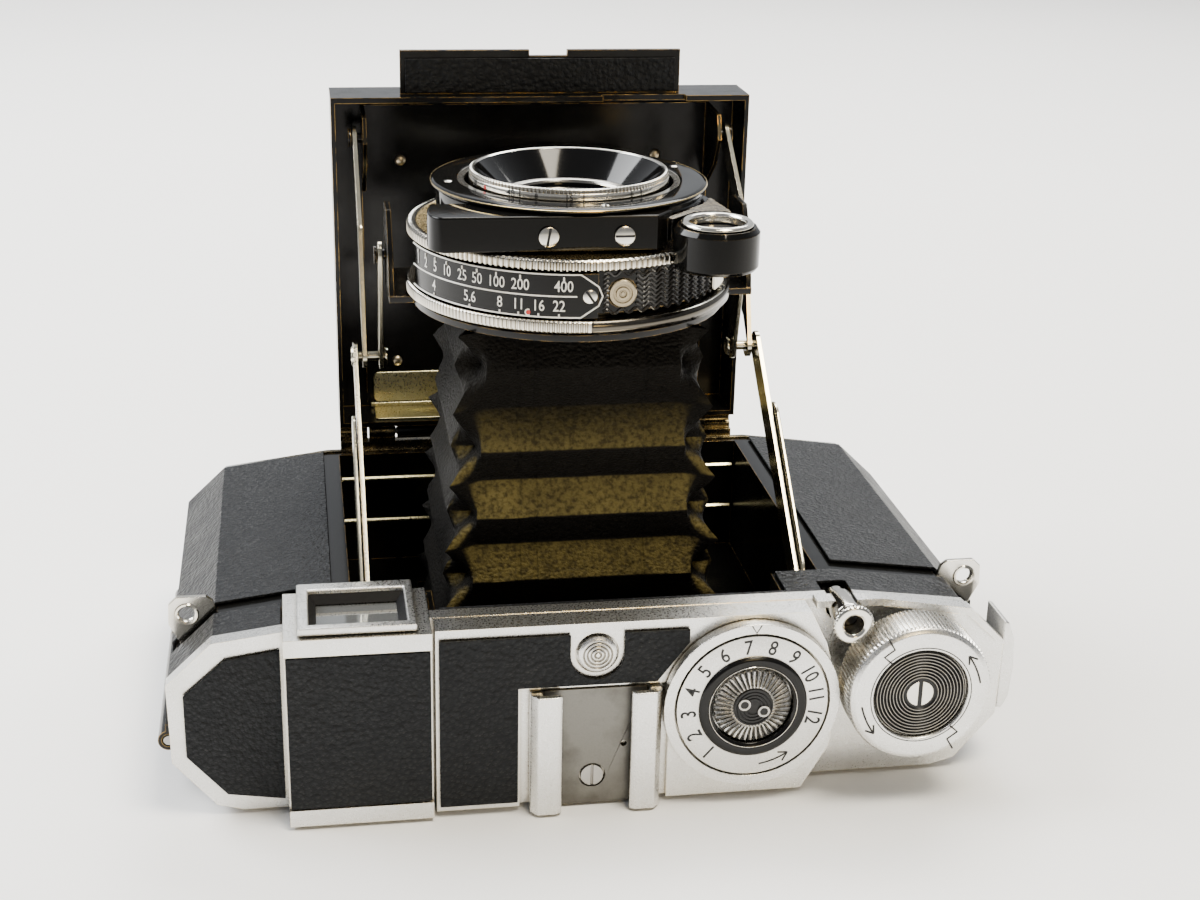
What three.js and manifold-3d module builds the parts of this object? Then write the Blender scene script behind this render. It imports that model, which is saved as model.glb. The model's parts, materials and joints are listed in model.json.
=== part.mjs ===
// A roll-film folding camera, open and lying on its back: lens up +Z, top cover to -Y, door hinge to +Y.
// Millimetres. The origin is the middle of the back's flat resting face.
import * as THREE from "three";
import { mergeVertices } from "three/addons/utils/BufferGeometryUtils.js";
import Module from "manifold-3d";

const wasm = await Module();
wasm.setup();

// ---- Driving dimensions --------------------------------------------------------------------------
const GAP = 0.3; // clearance between neighbouring pieces
const SKIN = 1.2; // sheet thickness of the body shell
const LEATHER = 0.5;

const BODY = { halfX: 76, crestX: 68, rimX: 46, sideFrontZ: 26.3, crestZ: 33.9, rimZ: 36.8, sideBackZ: 10.9 };
const BODY_TOP_Y = -40.6; // the top cover starts here
const BODY_BOTTOM_Y = 41;
const COVER_Y = -43.8; // plane of the top cover
const WELL = { halfX: 43.6, nearY: -30.4, farY: 39.6, floorZ: 11.2 };
const NOTCH = { x0: -29, x1: 34.5, y: -38.8 };
const CHAMBER = { x0: 45, x1: 73.6, y0: -30.2, y1: 39.3 };
const GATE = { halfX: 28, y0: -28.5, y1: 26.5 };

const HINGE = [43, 40]; // [y, z] of the door's hinge
const LOWER_PIVOT = [-27.34, 31.71];
const KNEE = [12.76, 67.14];
const STANDARD_PIVOT = [7.42, 89.05];
const STAY_PIVOT = [41.07, 104.48];

const DOOR = { halfX: 43.25, topZ: 112.8, bottomZ: 42, rimY: 40, floorY: 50, outerY: 52.1 };
const TAB = { halfX: 29, y: 44, topZ: 121.6 }; // the door's tongue that meets the top cover when shut
const LENS = [-0.8, -2.5]; // [x, y] of the optical axis
const WEDGE = [21.5, -29.2]; // [x, y] of the rangefinder's turning wedge
const STANDARD = [83, 84.3]; // the lens plate's two faces
const HOUSING = { r: 28.6, z0: 84.7, z1: 95.9, coreR: 21.6, coreZ: 99.1 };
const APERTURE = [84.7, 87.1]; // the aperture ring's two faces
const ARM = { low: 98.3, collarLow: 99.4, top: 104.6 };
const RIM_Z = 107.6; // front rim of the lens
const KNOB = { x: 56.5, z: 22.9, r: 13.3, faceY: -56.2, backY: -47.4 };
const DIAL = { x: 26.8, z: 20.1, r: 16.2, faceY: -51.5 };
const HOUSING_Y = -49; // face of the raised middle of the top cover
const FINDER = { x0: -55.8, x1: -30.4, y0: -50.7, y1: -31.8, z0: 0.8, z1: 37.4 };
const RELEASE = { x: 44.4, z: 35.4, r: 3.8, faceY: -52 };
const DOOR_BUTTON = { x: -1.3, z: 31.2, r: 3.5 };
const SPOOL = { r: 9.9, length: 64, coreR: 5.6 };
const BACK_HINGE = [-77.4, 8.6]; // [x, z] of the back's hinge line
const LUG_Y = -28.9; // plane of the strap lugs

// ---- Materials -----------------------------------------------------------------------------------
function finish(color, roughness, metalness) {
  return new THREE.MeshStandardMaterial({ color, roughness, metalness });
}
const chrome = finish(0xd6d4cd, 0.28, 0.95);
const nickel = finish(0xb9b49f, 0.25, 1);
const steel = finish(0x8f8d86, 0.45, 0.9);
const brass = finish(0xb08b45, 0.35, 1);
const enamel = finish(0x0d0c0b, 0.22, 0.1);
const leather = finish(0x1d1b19, 0.62, 0);
const bellowsLeather = finish(0x17150f, 0.5, 0);
const glass = finish(0x2a3033, 0.05, 0);

// ---- Solids --------------------------------------------------------------------------------------
function signedVolume(position, index) {
  const [a, b, c] = [new THREE.Vector3(), new THREE.Vector3(), new THREE.Vector3()];
  let volume = 0;
  for (let i = 0; i < index.length; i += 3) {
    a.fromBufferAttribute(position, index[i]);
    b.fromBufferAttribute(position, index[i + 1]);
    c.fromBufferAttribute(position, index[i + 2]);
    volume += a.dot(b.cross(c));
  }
  return volume;
}

// A closed geometry becomes a solid with its faces pointing out.
function solid(geometry) {
  geometry.deleteAttribute("normal");
  geometry.deleteAttribute("uv");
  const merged = mergeVertices(geometry, 1e-4);
  const source = Array.from(merged.index.array);
  const index = [];
  for (let i = 0; i < source.length; i += 3) {
    const [a, b, c] = source.slice(i, i + 3);
    if (a !== b && b !== c && c !== a) {
      index.push(a, b, c);
    }
  }
  if (signedVolume(merged.attributes.position, index) < 0) {
    index.reverse();
  }
  const mesh = new wasm.Mesh({
    numProp: 3,
    vertProperties: new Float32Array(merged.attributes.position.array),
    triVerts: new Uint32Array(index),
  });
  return new wasm.Manifold(mesh);
}

function toGeometry(body) {
  const mesh = body.getMesh();
  const geometry = new THREE.BufferGeometry();
  geometry.setAttribute("position", new THREE.BufferAttribute(mesh.vertProperties, 3));
  geometry.setIndex(new THREE.BufferAttribute(mesh.triVerts, 1));
  geometry.computeVertexNormals();
  return geometry;
}

const group = new THREE.Group();
function add(name, body, material) {
  const mesh = new THREE.Mesh(toGeometry(body), material);
  mesh.name = name;
  group.add(mesh);
}

const join = (...bodies) => bodies.reduce((a, b) => a.add(b));
const cut = (body, ...tools) => tools.reduce((a, b) => a.subtract(b), body);

function box(x0, x1, y0, y1, z0, z1) {
  const geometry = new THREE.BoxGeometry(x1 - x0, y1 - y0, z1 - z0);
  geometry.translate((x0 + x1) / 2, (y0 + y1) / 2, (z0 + z1) / 2);
  return solid(geometry);
}

// Each axis has the frame that carries an outline's two coordinates and its depth into the part.
const vector = (x, y, z) => new THREE.Vector3(x, y, z);
const FRAMES = {
  x: new THREE.Matrix4().makeBasis(vector(0, 1, 0), vector(0, 0, 1), vector(1, 0, 0)),
  y: new THREE.Matrix4().makeBasis(vector(0, 0, 1), vector(1, 0, 0), vector(0, 1, 0)),
  z: new THREE.Matrix4(),
};

// An outline of points or a Shape, swept along an axis. Outlines are [y, z], [z, x] or [x, y].
function prism(axis, outline, from, to, curveSegments = 10) {
  const isShape = outline instanceof THREE.Shape;
  const shape = isShape ? outline : new THREE.Shape(outline.map((p) => new THREE.Vector2(...p)));
  const geometry = new THREE.ExtrudeGeometry(shape, { depth: to - from, bevelEnabled: false, curveSegments });
  geometry.translate(0, 0, from);
  geometry.applyMatrix4(FRAMES[axis]);
  return solid(geometry);
}

// A closed profile of [radius, height] turned about an axis through a point.
function turned(axis, profile, centre, segments = 32) {
  const points = profile.map((p) => new THREE.Vector2(...p));
  if (profile.every((p) => p[0] > 0)) {
    points.push(points[0].clone());
  }
  const geometry = new THREE.LatheGeometry(points, segments);
  geometry.rotateX(Math.PI / 2);
  geometry.applyMatrix4(FRAMES[axis]);
  geometry.translate(...centre);
  return solid(geometry);
}

const rod = (axis, r, from, to, centre, segments = 24) =>
  turned(axis, [[0, from], [r, from], [r, to], [0, to]], centre, segments);
const ring = (axis, inner, outer, from, to, centre, segments = 48) =>
  turned(axis, [[inner, from], [outer, from], [outer, to], [inner, to]], centre, segments);

// A stud that ends in a head, through the plates between two x planes. Its head may face either way.
function rivet([y, z], from, to, headR) {
  const head = to + 0.6 * Math.sign(to - from);
  return join(rod("x", 1, Math.min(from, to), Math.max(from, to), [0, y, z], 14),
    rod("x", headR, Math.min(to, head), Math.max(to, head), [0, y, z], 14));
}

const flip = (outline) => outline.map(([a, b]) => [-a, b]);
const swap = (outline) => outline.map(([a, b]) => [b, a]);
const mirrored = (body) => {
  const geometry = toGeometry(body);
  geometry.scale(-1, 1, 1);
  return solid(geometry);
};

// A strip between two points with round ends, as an outline.
function capsule([ax, ay], [bx, by], ra, rb = ra, steps = 7) {
  const angle = Math.atan2(by - ay, bx - ax);
  const points = [];
  for (let i = 0; i <= steps; i += 1) {
    const t = angle + Math.PI / 2 + (Math.PI * i) / steps;
    points.push([ax + ra * Math.cos(t), ay + ra * Math.sin(t)]);
  }
  for (let i = 0; i <= steps; i += 1) {
    const t = angle - Math.PI / 2 + (Math.PI * i) / steps;
    points.push([bx + rb * Math.cos(t), by + rb * Math.sin(t)]);
  }
  return points;
}

// ---- Body ----------------------------------------------------------------------------------------
// Half of the front section as [x, z], moved in by a given depth.
function frontHalf(inset) {
  return [
    [BODY.halfX - inset, BODY.sideFrontZ - 0.4 * inset],
    [BODY.crestX - 0.6 * inset, BODY.crestZ - inset],
    [BODY.rimX, BODY.rimZ - inset],
  ];
}

function sectionAtDepth(inset, backZ, backX = BODY.halfX - inset) {
  const half = [[backX, backZ], [BODY.halfX - inset, Math.max(backZ, BODY.sideBackZ)], ...frontHalf(inset)];
  return swap([...half, ...flip(half).reverse()]);
}

const SHELL_INSET = LEATHER + GAP;
const finderCut = box(FINDER.x0 - GAP, FINDER.x1 + GAP, -60, FINDER.y1 + GAP, -1, 50);

function bodyShell() {
  const section = sectionAtDepth(SHELL_INSET, BODY.sideBackZ + GAP);
  const outer = prism("y", section, BODY_TOP_Y + GAP, BODY_BOTTOM_Y - GAP);
  const rear = [[72.6, BODY.sideBackZ + 1], [72.6, BODY.sideBackZ - 0.6], [67.6, 4], [-67.6, 4],
    [-72.6, BODY.sideBackZ - 0.6], [-72.6, BODY.sideBackZ + 1]];
  const middle = prism("y", swap(rear), BODY_TOP_Y + 1.5, BODY_BOTTOM_Y - 0.8);
  const inner = SHELL_INSET + SKIN;
  const chamber = [
    [CHAMBER.x0, 3],
    [CHAMBER.x1 - 2, 3],
    [CHAMBER.x1 - 2, BODY.sideBackZ + 1],
    [CHAMBER.x1, BODY.sideBackZ + 2],
    [CHAMBER.x1, BODY.sideFrontZ - 0.6],
    [BODY.crestX - 0.8, BODY.crestZ - inner],
    [CHAMBER.x0, BODY.rimZ - inner],
  ];
  const right = prism("y", swap(chamber), CHAMBER.y0, CHAMBER.y1);
  const left = prism("y", swap(flip(chamber)), CHAMBER.y0, CHAMBER.y1);
  const roofZ = BODY.rimZ - inner;
  const well = box(-WELL.halfX, WELL.halfX, WELL.nearY, WELL.farY, WELL.floorZ, 60);
  const nearWell = box(NOTCH.x0, NOTCH.x1, NOTCH.y, 0, WELL.floorZ, 60);
  const window = box(-GATE.halfX, GATE.halfX, GATE.y0, GATE.y1, 0, 20);
  const filmPath = box(-60, 60, CHAMBER.y0, CHAMBER.y1, 0, 9.2);
  const gearSpace = box(-72, 72, BODY_TOP_Y + 1.5, CHAMBER.y0 - 1.2, 0, 9.2);
  const stud = rivet(LOWER_PIVOT, WELL.halfX + 0.4, 39.7, 1.9);
  const shaftHole = rod("y", 3.4, -60, 0, [KNOB.x, 0, KNOB.z]);
  const buttonHole = rod("y", 3.1, -60, -32, [RELEASE.x, 0, RELEASE.z]);
  const mechanismRoom = box(WELL.halfX + 1.4, 70, BODY_TOP_Y - 1, CHAMBER.y0 - 1.2, 12, roofZ - 3);
  const rooms = [right, left, well, nearWell, window, filmPath, gearSpace, mechanismRoom];
  const hollow = cut(join(outer, middle), ...rooms, finderCut, shaftHole, buttonHole);
  return join(hollow, stud, mirrored(stud), ...BODY_SPANS.map(backHingeLeaf));
}

function leatherWrap() {
  const outer = [[BODY.halfX, BODY.sideBackZ + 1.2], ...frontHalf(0)];
  outer[3] = [BODY.rimX + 1, BODY.rimZ - 0.15];
  const inner = [[BODY.halfX - LEATHER, BODY.sideBackZ + 1.2], ...frontHalf(LEATHER)];
  inner[3] = [BODY.rimX + 1, BODY.rimZ - 0.15 - LEATHER];
  return prism("y", swap([...outer, ...inner.reverse()]), -26.5, BODY_BOTTOM_Y - 0.6);
}

// The narrow leather between the opening and the top cover; it follows the body's front and its chamfers.
function leatherStrip(x0, x1, y0, y1) {
  const outer = frontHalf(0);
  const inner = frontHalf(LEATHER);
  const section = [...outer, ...flip(outer).reverse(), ...flip(inner), ...inner.reverse()];
  return prism("y", swap(section), y0, y1).intersect(box(x0, x1, y0 - 1, y1 + 1, 20, 50));
}

function leftStrip() {
  return leatherStrip(-BODY.halfX, FINDER.x0 - 0.4, BODY_TOP_Y + 0.4, WELL.nearY - 0.6);
}

function rightStrip() {
  const side = leatherStrip(NOTCH.x1 + 0.6, BODY.crestX + 0.6, BODY_TOP_Y + 0.4, WELL.nearY - 0.6);
  const front = leatherStrip(NOTCH.x0 + 0.6, NOTCH.x1 + 1, BODY_TOP_Y + 0.4, NOTCH.y - 0.4);
  return cut(join(side, front), rod("y", 3.1, -50, -36, [RELEASE.x, 0, RELEASE.z]));
}

// A strap lug stands on the painted band beside the chamfer, with its foot sunk through the shell.
function strapLug() {
  const outline = [
    [67.4, 33.4],
    [68.2, 35.6],
    [69.4, 36.5],
    [74.6, 36.5],
    [76, 35.2],
    [76.2, 31.4],
    [74.2, 27.4],
  ];
  const plate = prism("y", swap(outline), LUG_Y - 0.5, LUG_Y + 0.5);
  return cut(plate, rod("y", 1.6, LUG_Y - 2, LUG_Y + 2, [72.9, 0, 33.2], 20));
}

// ---- Top cover -----------------------------------------------------------------------------------
function housingOutline() {
  const shape = new THREE.Shape();
  shape.moveTo(1, FINDER.x1 + 0.6);
  shape.lineTo(37, FINDER.x1 + 0.6);
  shape.lineTo(37, 37.4);
  shape.lineTo(30.5, 40.6);
  shape.quadraticCurveTo(20, 43.8, 9.5, 42.2);
  shape.lineTo(1, 37.4);
  shape.closePath();
  return shape;
}

function finderTube() {
  const { x0, x1, y0, y1, z0, z1 } = FINDER;
  return box(x0 + 2.6, x1 - 2.6, y0 + 2.4, y1 - 1.4, z0 - 1, z1 + 1);
}

// The cover's plate, hollow from below, as a shell that follows the body's front and chamfers.
function coverPlate() {
  const rim = [[BODY.halfX, BODY.sideBackZ + GAP], ...frontHalf(-0.3)];
  const section = [[68.6, 2.2], [64, 0.9], [-64, 0.9], [-68.6, 2.2], ...flip(rim), ...rim.reverse()];
  const rightInside = [[66, 4], [72, 12], [72, 25], [66, 31], [44, 33.5]];
  const inside = [...rightInside, [-66, 31], [-72, 25], [-72, 12], [-66, 4]];
  const base = prism("y", swap(section), COVER_Y, BODY_TOP_Y - 0.05);
  return cut(base, prism("y", swap(inside), COVER_Y + 1.1, BODY_TOP_Y + 1));
}

// The raised edge that makes a dish round the winding knob.
function dishRim() {
  const outer = [[39, 36.4], [51, 36.2], [67.8, 33.4], [74.8, 26.8]];
  const inner = [[75.6, 27.3], [68.3, 34.7], [51, 37.6], [39, 37.7]];
  return prism("y", swap([...outer, ...inner]), COVER_Y - 2.6, COVER_Y + 0.5);
}

function finderPanel() {
  const [z0, z1] = [FINDER.z0 + 3.2, FINDER.z1 - 3.2];
  return box(FINDER.x0 - 1, FINDER.x1 + 1, -60, FINDER.y0 + LEATHER + GAP, z0, z1);
}

function coverHoles() {
  const doorCentre = [DOOR_BUTTON.x, 0, DOOR_BUTTON.z];
  return join(
    rod("y", 3, -60, -30, [KNOB.x, 0, KNOB.z]),
    rod("y", 4, -60, -46, [DIAL.x, 0, DIAL.z]),
    rod("y", 3, -60, -30, [RELEASE.x, 0, RELEASE.z]),
    rod("y", 2.1, -60, -30, doorCentre),
    rod("y", DOOR_BUTTON.r + 0.4, -60, HOUSING_Y + 1.1, doorCentre),
  );
}

function topCover() {
  const housing = prism("y", housingOutline(), HOUSING_Y, COVER_Y + 0.5);
  const finder = box(FINDER.x0, FINDER.x1, FINDER.y0, FINDER.y1, FINDER.z0, FINDER.z1);
  const gearRoom = box(-28, 34, HOUSING_Y + 2.4, BODY_TOP_Y + 1, 4, 33);
  const shoeSeat = box(-14.9, 12, -60, HOUSING_Y + 1.1, -1, 24.6);
  const solidCover = join(coverPlate(), housing, dishRim(), finder);
  return cut(solidCover, gearRoom, shoeSeat, coverHoles(), finderTube(), finderPanel());
}

function leftInset() {
  const outline = [[-56.5, 32.6], [-66, 31.2], [-73.4, 24.6], [-73.4, 12.6], [-66.6, 4.6], [-56.5, 3]];
  return prism("y", swap(outline), COVER_Y - GAP - LEATHER, COVER_Y - GAP);
}

function middleInset() {
  const shape = new THREE.Shape();
  shape.moveTo(2.2, -29.2);
  shape.lineTo(35.2, -29.2);
  shape.lineTo(35.2, -6.1);
  shape.lineTo(31.2, -6.1);
  shape.absarc(31.2, DOOR_BUTTON.x, 4.8, -Math.PI / 2, Math.PI / 2, true);
  shape.lineTo(35.2, 3.5);
  shape.lineTo(35.2, 15.2);
  shape.lineTo(32.6, 15.2);
  shape.lineTo(25.2, 9.6);
  shape.lineTo(25.2, -15.3);
  shape.lineTo(2.2, -15.3);
  shape.closePath();
  return prism("y", shape, HOUSING_Y - GAP - LEATHER, HOUSING_Y - GAP, 8);
}

// The accessory shoe: a sheet plate on the cover, between two rails whose lips reach over the channel.
const SHOE = { middleX: -1.4, z0: 0.5, z1: 24.2, plateY: -48.7, seatY: -48.2 };
const SHOE_SCREW = [-1.7, 0, 6.3];

function shoeRail(side) {
  const wall = [[11.8, SHOE.seatY], [11.8, -50.6], [10.6, -52], [7.2, -52], [6.2, -51.4]];
  const lip = [[6.2, -50.75], [9.6, -50.75], [9.6, SHOE.seatY]];
  return prism("z", [...wall, ...lip].map(([x, y]) => [SHOE.middleX + side * x, y]), SHOE.z0, SHOE.z1);
}

function shoeBasePlate() {
  const { middleX, z0, z1, plateY, seatY } = SHOE;
  const plate = box(middleX - 9.3, middleX + 9.3, plateY, seatY, z0 + 0.1, z1 - 0.2);
  return cut(plate, rod("y", 2.4, -60, -40, SHOE_SCREW, 20), rod("y", 0.6, -60, -40, [4, 0, 12.5], 12));
}

function shoeScrew() {
  const [x, , z] = SHOE_SCREW;
  const slot = box(x - 0.2, x + 0.2, -50, -48.5, z - 4, z + 4);
  return cut(rod("y", 2.1, SHOE.plateY - 0.05, SHOE.seatY, SHOE_SCREW, 20), slot);
}

// ---- Finder --------------------------------------------------------------------------------------
function windowFrame(z0, z1) {
  const outer = box(-53.3, -32.8, -49.7, -31.2, z0, z1);
  return cut(outer, box(-51.3, -34.4, -47.8, -34.2, z0 - 1, z1 + 1));
}

// Windows close the two ends of the finder's tube.
function finderGlass(z0, z1) {
  return box(-52.6, -33.6, -47.6, -33.6, z0, z1);
}

function finderLeather() {
  const { x0, x1, y0, z0, z1 } = FINDER;
  return box(x0 + GAP, x1 - GAP, y0, y0 + LEATHER, z0 + 3.5, z1 - 3.5);
}

// ---- Dial, knob and buttons ----------------------------------------------------------------------
const KNOB_CENTRE = [KNOB.x, 0, KNOB.z];
const DIAL_CENTRE = [DIAL.x, 0, DIAL.z];

function counterDisc() {
  const hub = [[0, -46.8], [3.2, -46.8], [3.2, -49.5]];
  const rim = [[13.9, -49.5], [13.9, DIAL.faceY], [10, DIAL.faceY], [9.6, DIAL.faceY - 0.6]];
  const dish = [[7.5, DIAL.faceY - 0.2], [7.5, -50.4], [0, -50.4]];
  return turned("y", [...hub, ...rim, ...dish], DIAL_CENTRE, 48);
}

function counterStar() {
  const profile = [[0, -50.7], [7.1, -50.7], [6.9, -51.6], [4.6, -52.2], [4.4, -51.9], [0, -51.9]];
  return turned("y", profile, DIAL_CENTRE, 40);
}

function windingKnob() {
  const { r, faceY, backY } = KNOB;
  const side = [[0, backY], [11.6, backY], [r, backY + 1], [r, faceY + 0.9], [r - 0.7, faceY]];
  const hollow = [[8.6, faceY], [8.6, faceY + 0.8], [0, faceY + 0.8]];
  return cut(turned("y", [...side, ...hollow], KNOB_CENTRE, 48), rod("y", 2.9, -60, -54, KNOB_CENTRE));
}

function windingScrew() {
  const slot = box(KNOB.x - 0.35, KNOB.x + 0.35, -57, -55.1, KNOB.z - 5, KNOB.z + 5);
  return cut(rod("y", 2.5, -55.7, -54.3, KNOB_CENTRE, 20), slot);
}

function releaseButton() {
  const { x, z, r, faceY } = RELEASE;
  const head = [[0, faceY], [r - 0.3, faceY], [r, faceY + 0.4], [r, faceY + 1.2], [r - 0.7, faceY + 1.6]];
  const stem = [[2.7, faceY + 4], [2.7, -42], [2, -42], [2, -39.2], [0, -39.2]];
  const socket = rod("y", 1.8, faceY - 1, faceY + 4, [x, 0, z], 16);
  return cut(turned("y", [...head, ...stem], [x, 0, z], 28), socket);
}

function doorButton() {
  const { x, z, r } = DOOR_BUTTON;
  const profile = [[0, -50.1], [2.6, -50.1], [r, -49.8], [r, -49.3], [1.7, -49.3], [1.7, -45], [0, -45]];
  return turned("y", profile, [x, 0, z], 28);
}

// ---- Film transport ------------------------------------------------------------------------------
function takeUpSpool() {
  const y0 = CHAMBER.y0 + 1.2;
  const y1 = y0 + SPOOL.length;
  const flange = [[1.6, y0], [SPOOL.r, y0], [SPOOL.r, y0 + 1], [SPOOL.coreR, y0 + 1]];
  const farFlange = [[SPOOL.coreR, y1 - 1], [SPOOL.r, y1 - 1], [SPOOL.r, y1], [1.6, y1]];
  return turned("y", [...flange, ...farFlange], KNOB_CENTRE, 28);
}

// Rollers at the two edges of the gate, and the plate that holds the film flat on it.
function filmRoller(x) {
  return rod("y", 2.2, CHAMBER.y0 + 0.6, CHAMBER.y1 - 0.6, [x, 0, 6.6], 16);
}

const BACK_SPAN = [-10.4, 10.4]; // stretch of the back's hinge line held by the back itself
const BODY_SPANS = [[-31, -10.8], [10.8, 31]];
const backKnuckle = (y0, y1) => ring("y", 1.25, 2, y0, y1, [BACK_HINGE[0], 0, BACK_HINGE[1]], 20);

function backDoor() {
  const outer = [[75.9, 10.6], [69.2, 1.9], [64, 0.8], [-64, 0.8], [-69.2, 1.9], [-75.9, 10.6]];
  const inner = [[-74.2, 10.6], [-68.4, 3.3], [-63.6, 2.3], [63.6, 2.3], [68.4, 3.3], [74.2, 10.6]];
  const skin = cut(prism("y", swap([...outer, ...inner]), BODY_TOP_Y + GAP, BODY_BOTTOM_Y - GAP), finderCut);
  const [x, z] = BACK_HINGE;
  return join(skin, backKnuckle(...BACK_SPAN), box(x + 1.5, x + 3.4, ...BACK_SPAN, z - 0.4, z + 0.8));
}

// The body's half of the back hinge: two knuckles hung from a leaf under the leather.
function backHingeLeaf([y0, y1]) {
  const [x, z] = BACK_HINGE;
  const neck = box(x - 0.5, x + 0.9, y0, y1, z + 1.5, z + 3.3);
  const leaf = box(x - 0.5, x + 2.6, y0, y1, z + 2.65, z + 3.3);
  return join(backKnuckle(y0, y1), neck, leaf);
}

function backLatch() {
  const face = [[77.7, 11.4], [78.9, 14], [79.3, 20], [78.9, 26], [77.6, 29.4]];
  const thumbPlate = [[76.6, 11.6], ...face, [76.6, 29.8]];
  const bar = [[76.6, 12.8], [77.6, 13.4], [77.6, 23.4], [76.6, 24]];
  return join(prism("y", swap(thumbPlate), -42.6, -33.4), prism("y", swap(bar), -33.6, 30));
}

// ---- Door ----------------------------------------------------------------------------------------
const BUSH_CENTRE = [0, 0, 17]; // threaded for a tripod
const HINGE_SPANS = [[-31, -11], [11, 31]]; // stretches of the hinge line held by the door
const LUG_SPANS = [[-37, -31.4], [-10.6, 10.6], [31.4, 37]]; // stretches held by the bottom cover
const knuckle = ([x0, x1]) => rod("x", 1.7, x0, x1, [0, ...HINGE], 20);
const hingeBore = rod("x", 1, -50, 50, [0, ...HINGE], 16);

function doorPan() {
  const { halfX, topZ, bottomZ, rimY, outerY } = DOOR;
  const outer = box(-halfX, halfX, rimY, outerY, bottomZ, topZ);
  const inner = box(-halfX + 0.9, halfX - 0.9, rimY - 1, outerY - 1.2, bottomZ + 1.1, topZ - 1.2);
  const tab = box(-TAB.halfX, TAB.halfX, TAB.y, TAB.y + 1.2, topZ - 0.6, TAB.topZ);
  const hookNotch = box(-2.5, 5.3, TAB.y - 1, TAB.y + 3, TAB.topZ - 1.2, TAB.topZ + 1);
  const wedgeNotch = box(12.4, 29.8, rimY - 1, rimY + 1.6, topZ - 2, topZ + 1);
  const [hingeY, hingeZ] = HINGE;
  const webs = HINGE_SPANS.map((span) => box(...span, hingeY - 1, hingeY + 1.6, hingeZ + 0.6, bottomZ + 0.6));
  const barrel = HINGE_SPANS.map(knuckle);
  return cut(join(cut(outer, inner), tab, ...webs, ...barrel), hookNotch, wedgeNotch, hingeBore);
}

function doorLeather() {
  const { halfX, topZ, bottomZ, outerY } = DOOR;
  return box(-halfX + 1.4, halfX - 1.4, outerY + GAP, outerY + GAP + LEATHER, bottomZ + 1.4, topZ - 1.4);
}

function tabLeather() {
  const halfX = TAB.halfX - 1.1;
  return box(-halfX, halfX, TAB.y - GAP - LEATHER, TAB.y - GAP, DOOR.topZ + 0.4, TAB.topZ - 1.6);
}

function doorLiner() {
  const plate = box(-37, 37, DOOR.floorY, DOOR.floorY + 0.6, 44, 109.5);
  const foot = DOOR.floorY + 0.5;
  const flangeOutline = [[foot, 91], [foot, 109.5], [38.4, 109], [36.8, 104], [40.6, 98]];
  const flange = join(prism("x", flangeOutline, 36.2, 37), rivet(STAY_PIVOT, 36.4, 39.3, 1.9));
  return join(plate, flange, mirrored(flange));
}

function bottomCover() {
  const [hingeY, hingeZ] = HINGE;
  const plate = prism("y", sectionAtDepth(0.4, 1.2, 64), BODY_BOTTOM_Y, BODY_BOTTOM_Y + 1.2);
  const lug = (span) => join(knuckle(span), box(...span, BODY_BOTTOM_Y + 0.9, hingeY + 1.6, 30, hingeZ));
  const lugs = LUG_SPANS.map(lug);
  const ledge = box(-WELL.halfX + 0.4, WELL.halfX - 0.4, BODY_BOTTOM_Y + 0.9, hingeY + 1.4, 28, hingeZ - 2);
  const post = box(LUG_SPANS[2][1] + GAP, WELL.halfX - 0.4, hingeY + 0.2, hingeY + 1.4, 28, hingeZ + 1.6);
  const bushHole = rod("y", 5.2, 30, 60, BUSH_CENTRE);
  return cut(join(plate, ledge, post, mirrored(post), ...lugs), hingeBore, bushHole);
}

// ---- Struts --------------------------------------------------------------------------------------
const STRUT_X = [40, 40.8]; // each linkage plate's two faces, from the outermost in
const STAY_X = [38.2, 39];
const ARM_X = [35, 35.8];
const pivotBore = (pivot) => rod("x", 1.3, -60, 60, [0, ...pivot], 14);

function lowerStrut() {
  const plate = cut(prism("x", capsule(LOWER_PIVOT, KNEE, 2.6, 2.8), ...STRUT_X), pivotBore(LOWER_PIVOT));
  return join(plate, rivet(KNEE, STRUT_X[0] + 0.4, ARM_X[0] - GAP, 1.8));
}

function standardArm() {
  const plate = prism("x", capsule(KNEE, STANDARD_PIVOT, 2.6), ...ARM_X);
  return cut(plate, pivotBore(KNEE), pivotBore(STANDARD_PIVOT));
}

function doorStay() {
  const bend = [21, 90];
  const upper = prism("x", capsule(STAY_PIVOT, bend, 2.4), ...STAY_X);
  const lower = prism("x", capsule(bend, KNEE, 2.4), ...STAY_X);
  // The knee's rivet leaves this open mouth as the door closes, and comes back into it as it shuts.
  const [y, z] = KNEE;
  const edge = [[y - 0.6, z + 1.2], [y + 3.1, z + 5.3], [y + 8, z + 7.2], [y + 12, z + 7]];
  const mouth = prism("x", [...edge, [y + 12, z - 2.6], [y, z - 1.4]], STAY_X[0] - 0.2, STAY_X[1] + 0.2);
  return cut(join(upper, lower), pivotBore(KNEE), pivotBore(STAY_PIVOT), mouth);
}

// ---- Lens and shutter ----------------------------------------------------------------------------
const LENS_CENTRE = [...LENS, 0];
const WEDGE_CENTRE = [...WEDGE, 0];
const lensRod = (r, from, to) => rod("z", r, from, to, LENS_CENTRE, 48);
const lensRing = (inner, outer, from, to) => ring("z", inner, outer, from, to, LENS_CENTRE, 48);
const wedgeRod = (r, from, to) => rod("z", r, from, to, WEDGE_CENTRE, 28);

function lensStandard() {
  const [z0, z1] = STANDARD;
  const disc = lensRod(29.2, z0, z1);
  const ears = box(-34.4, 34.4, -5, 15, z0, z1);
  const side = prism("x", [[-5, z0], [15, z0], [13, 92], [9, 99], [2, 99], [-3, 92]], 33.4, 34.4);
  const arm = join(side, rivet(STANDARD_PIVOT, 33.8, 36, 1.7));
  return cut(join(disc, ears, arm, mirrored(arm)), lensRod(15, 80, 90));
}

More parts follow.
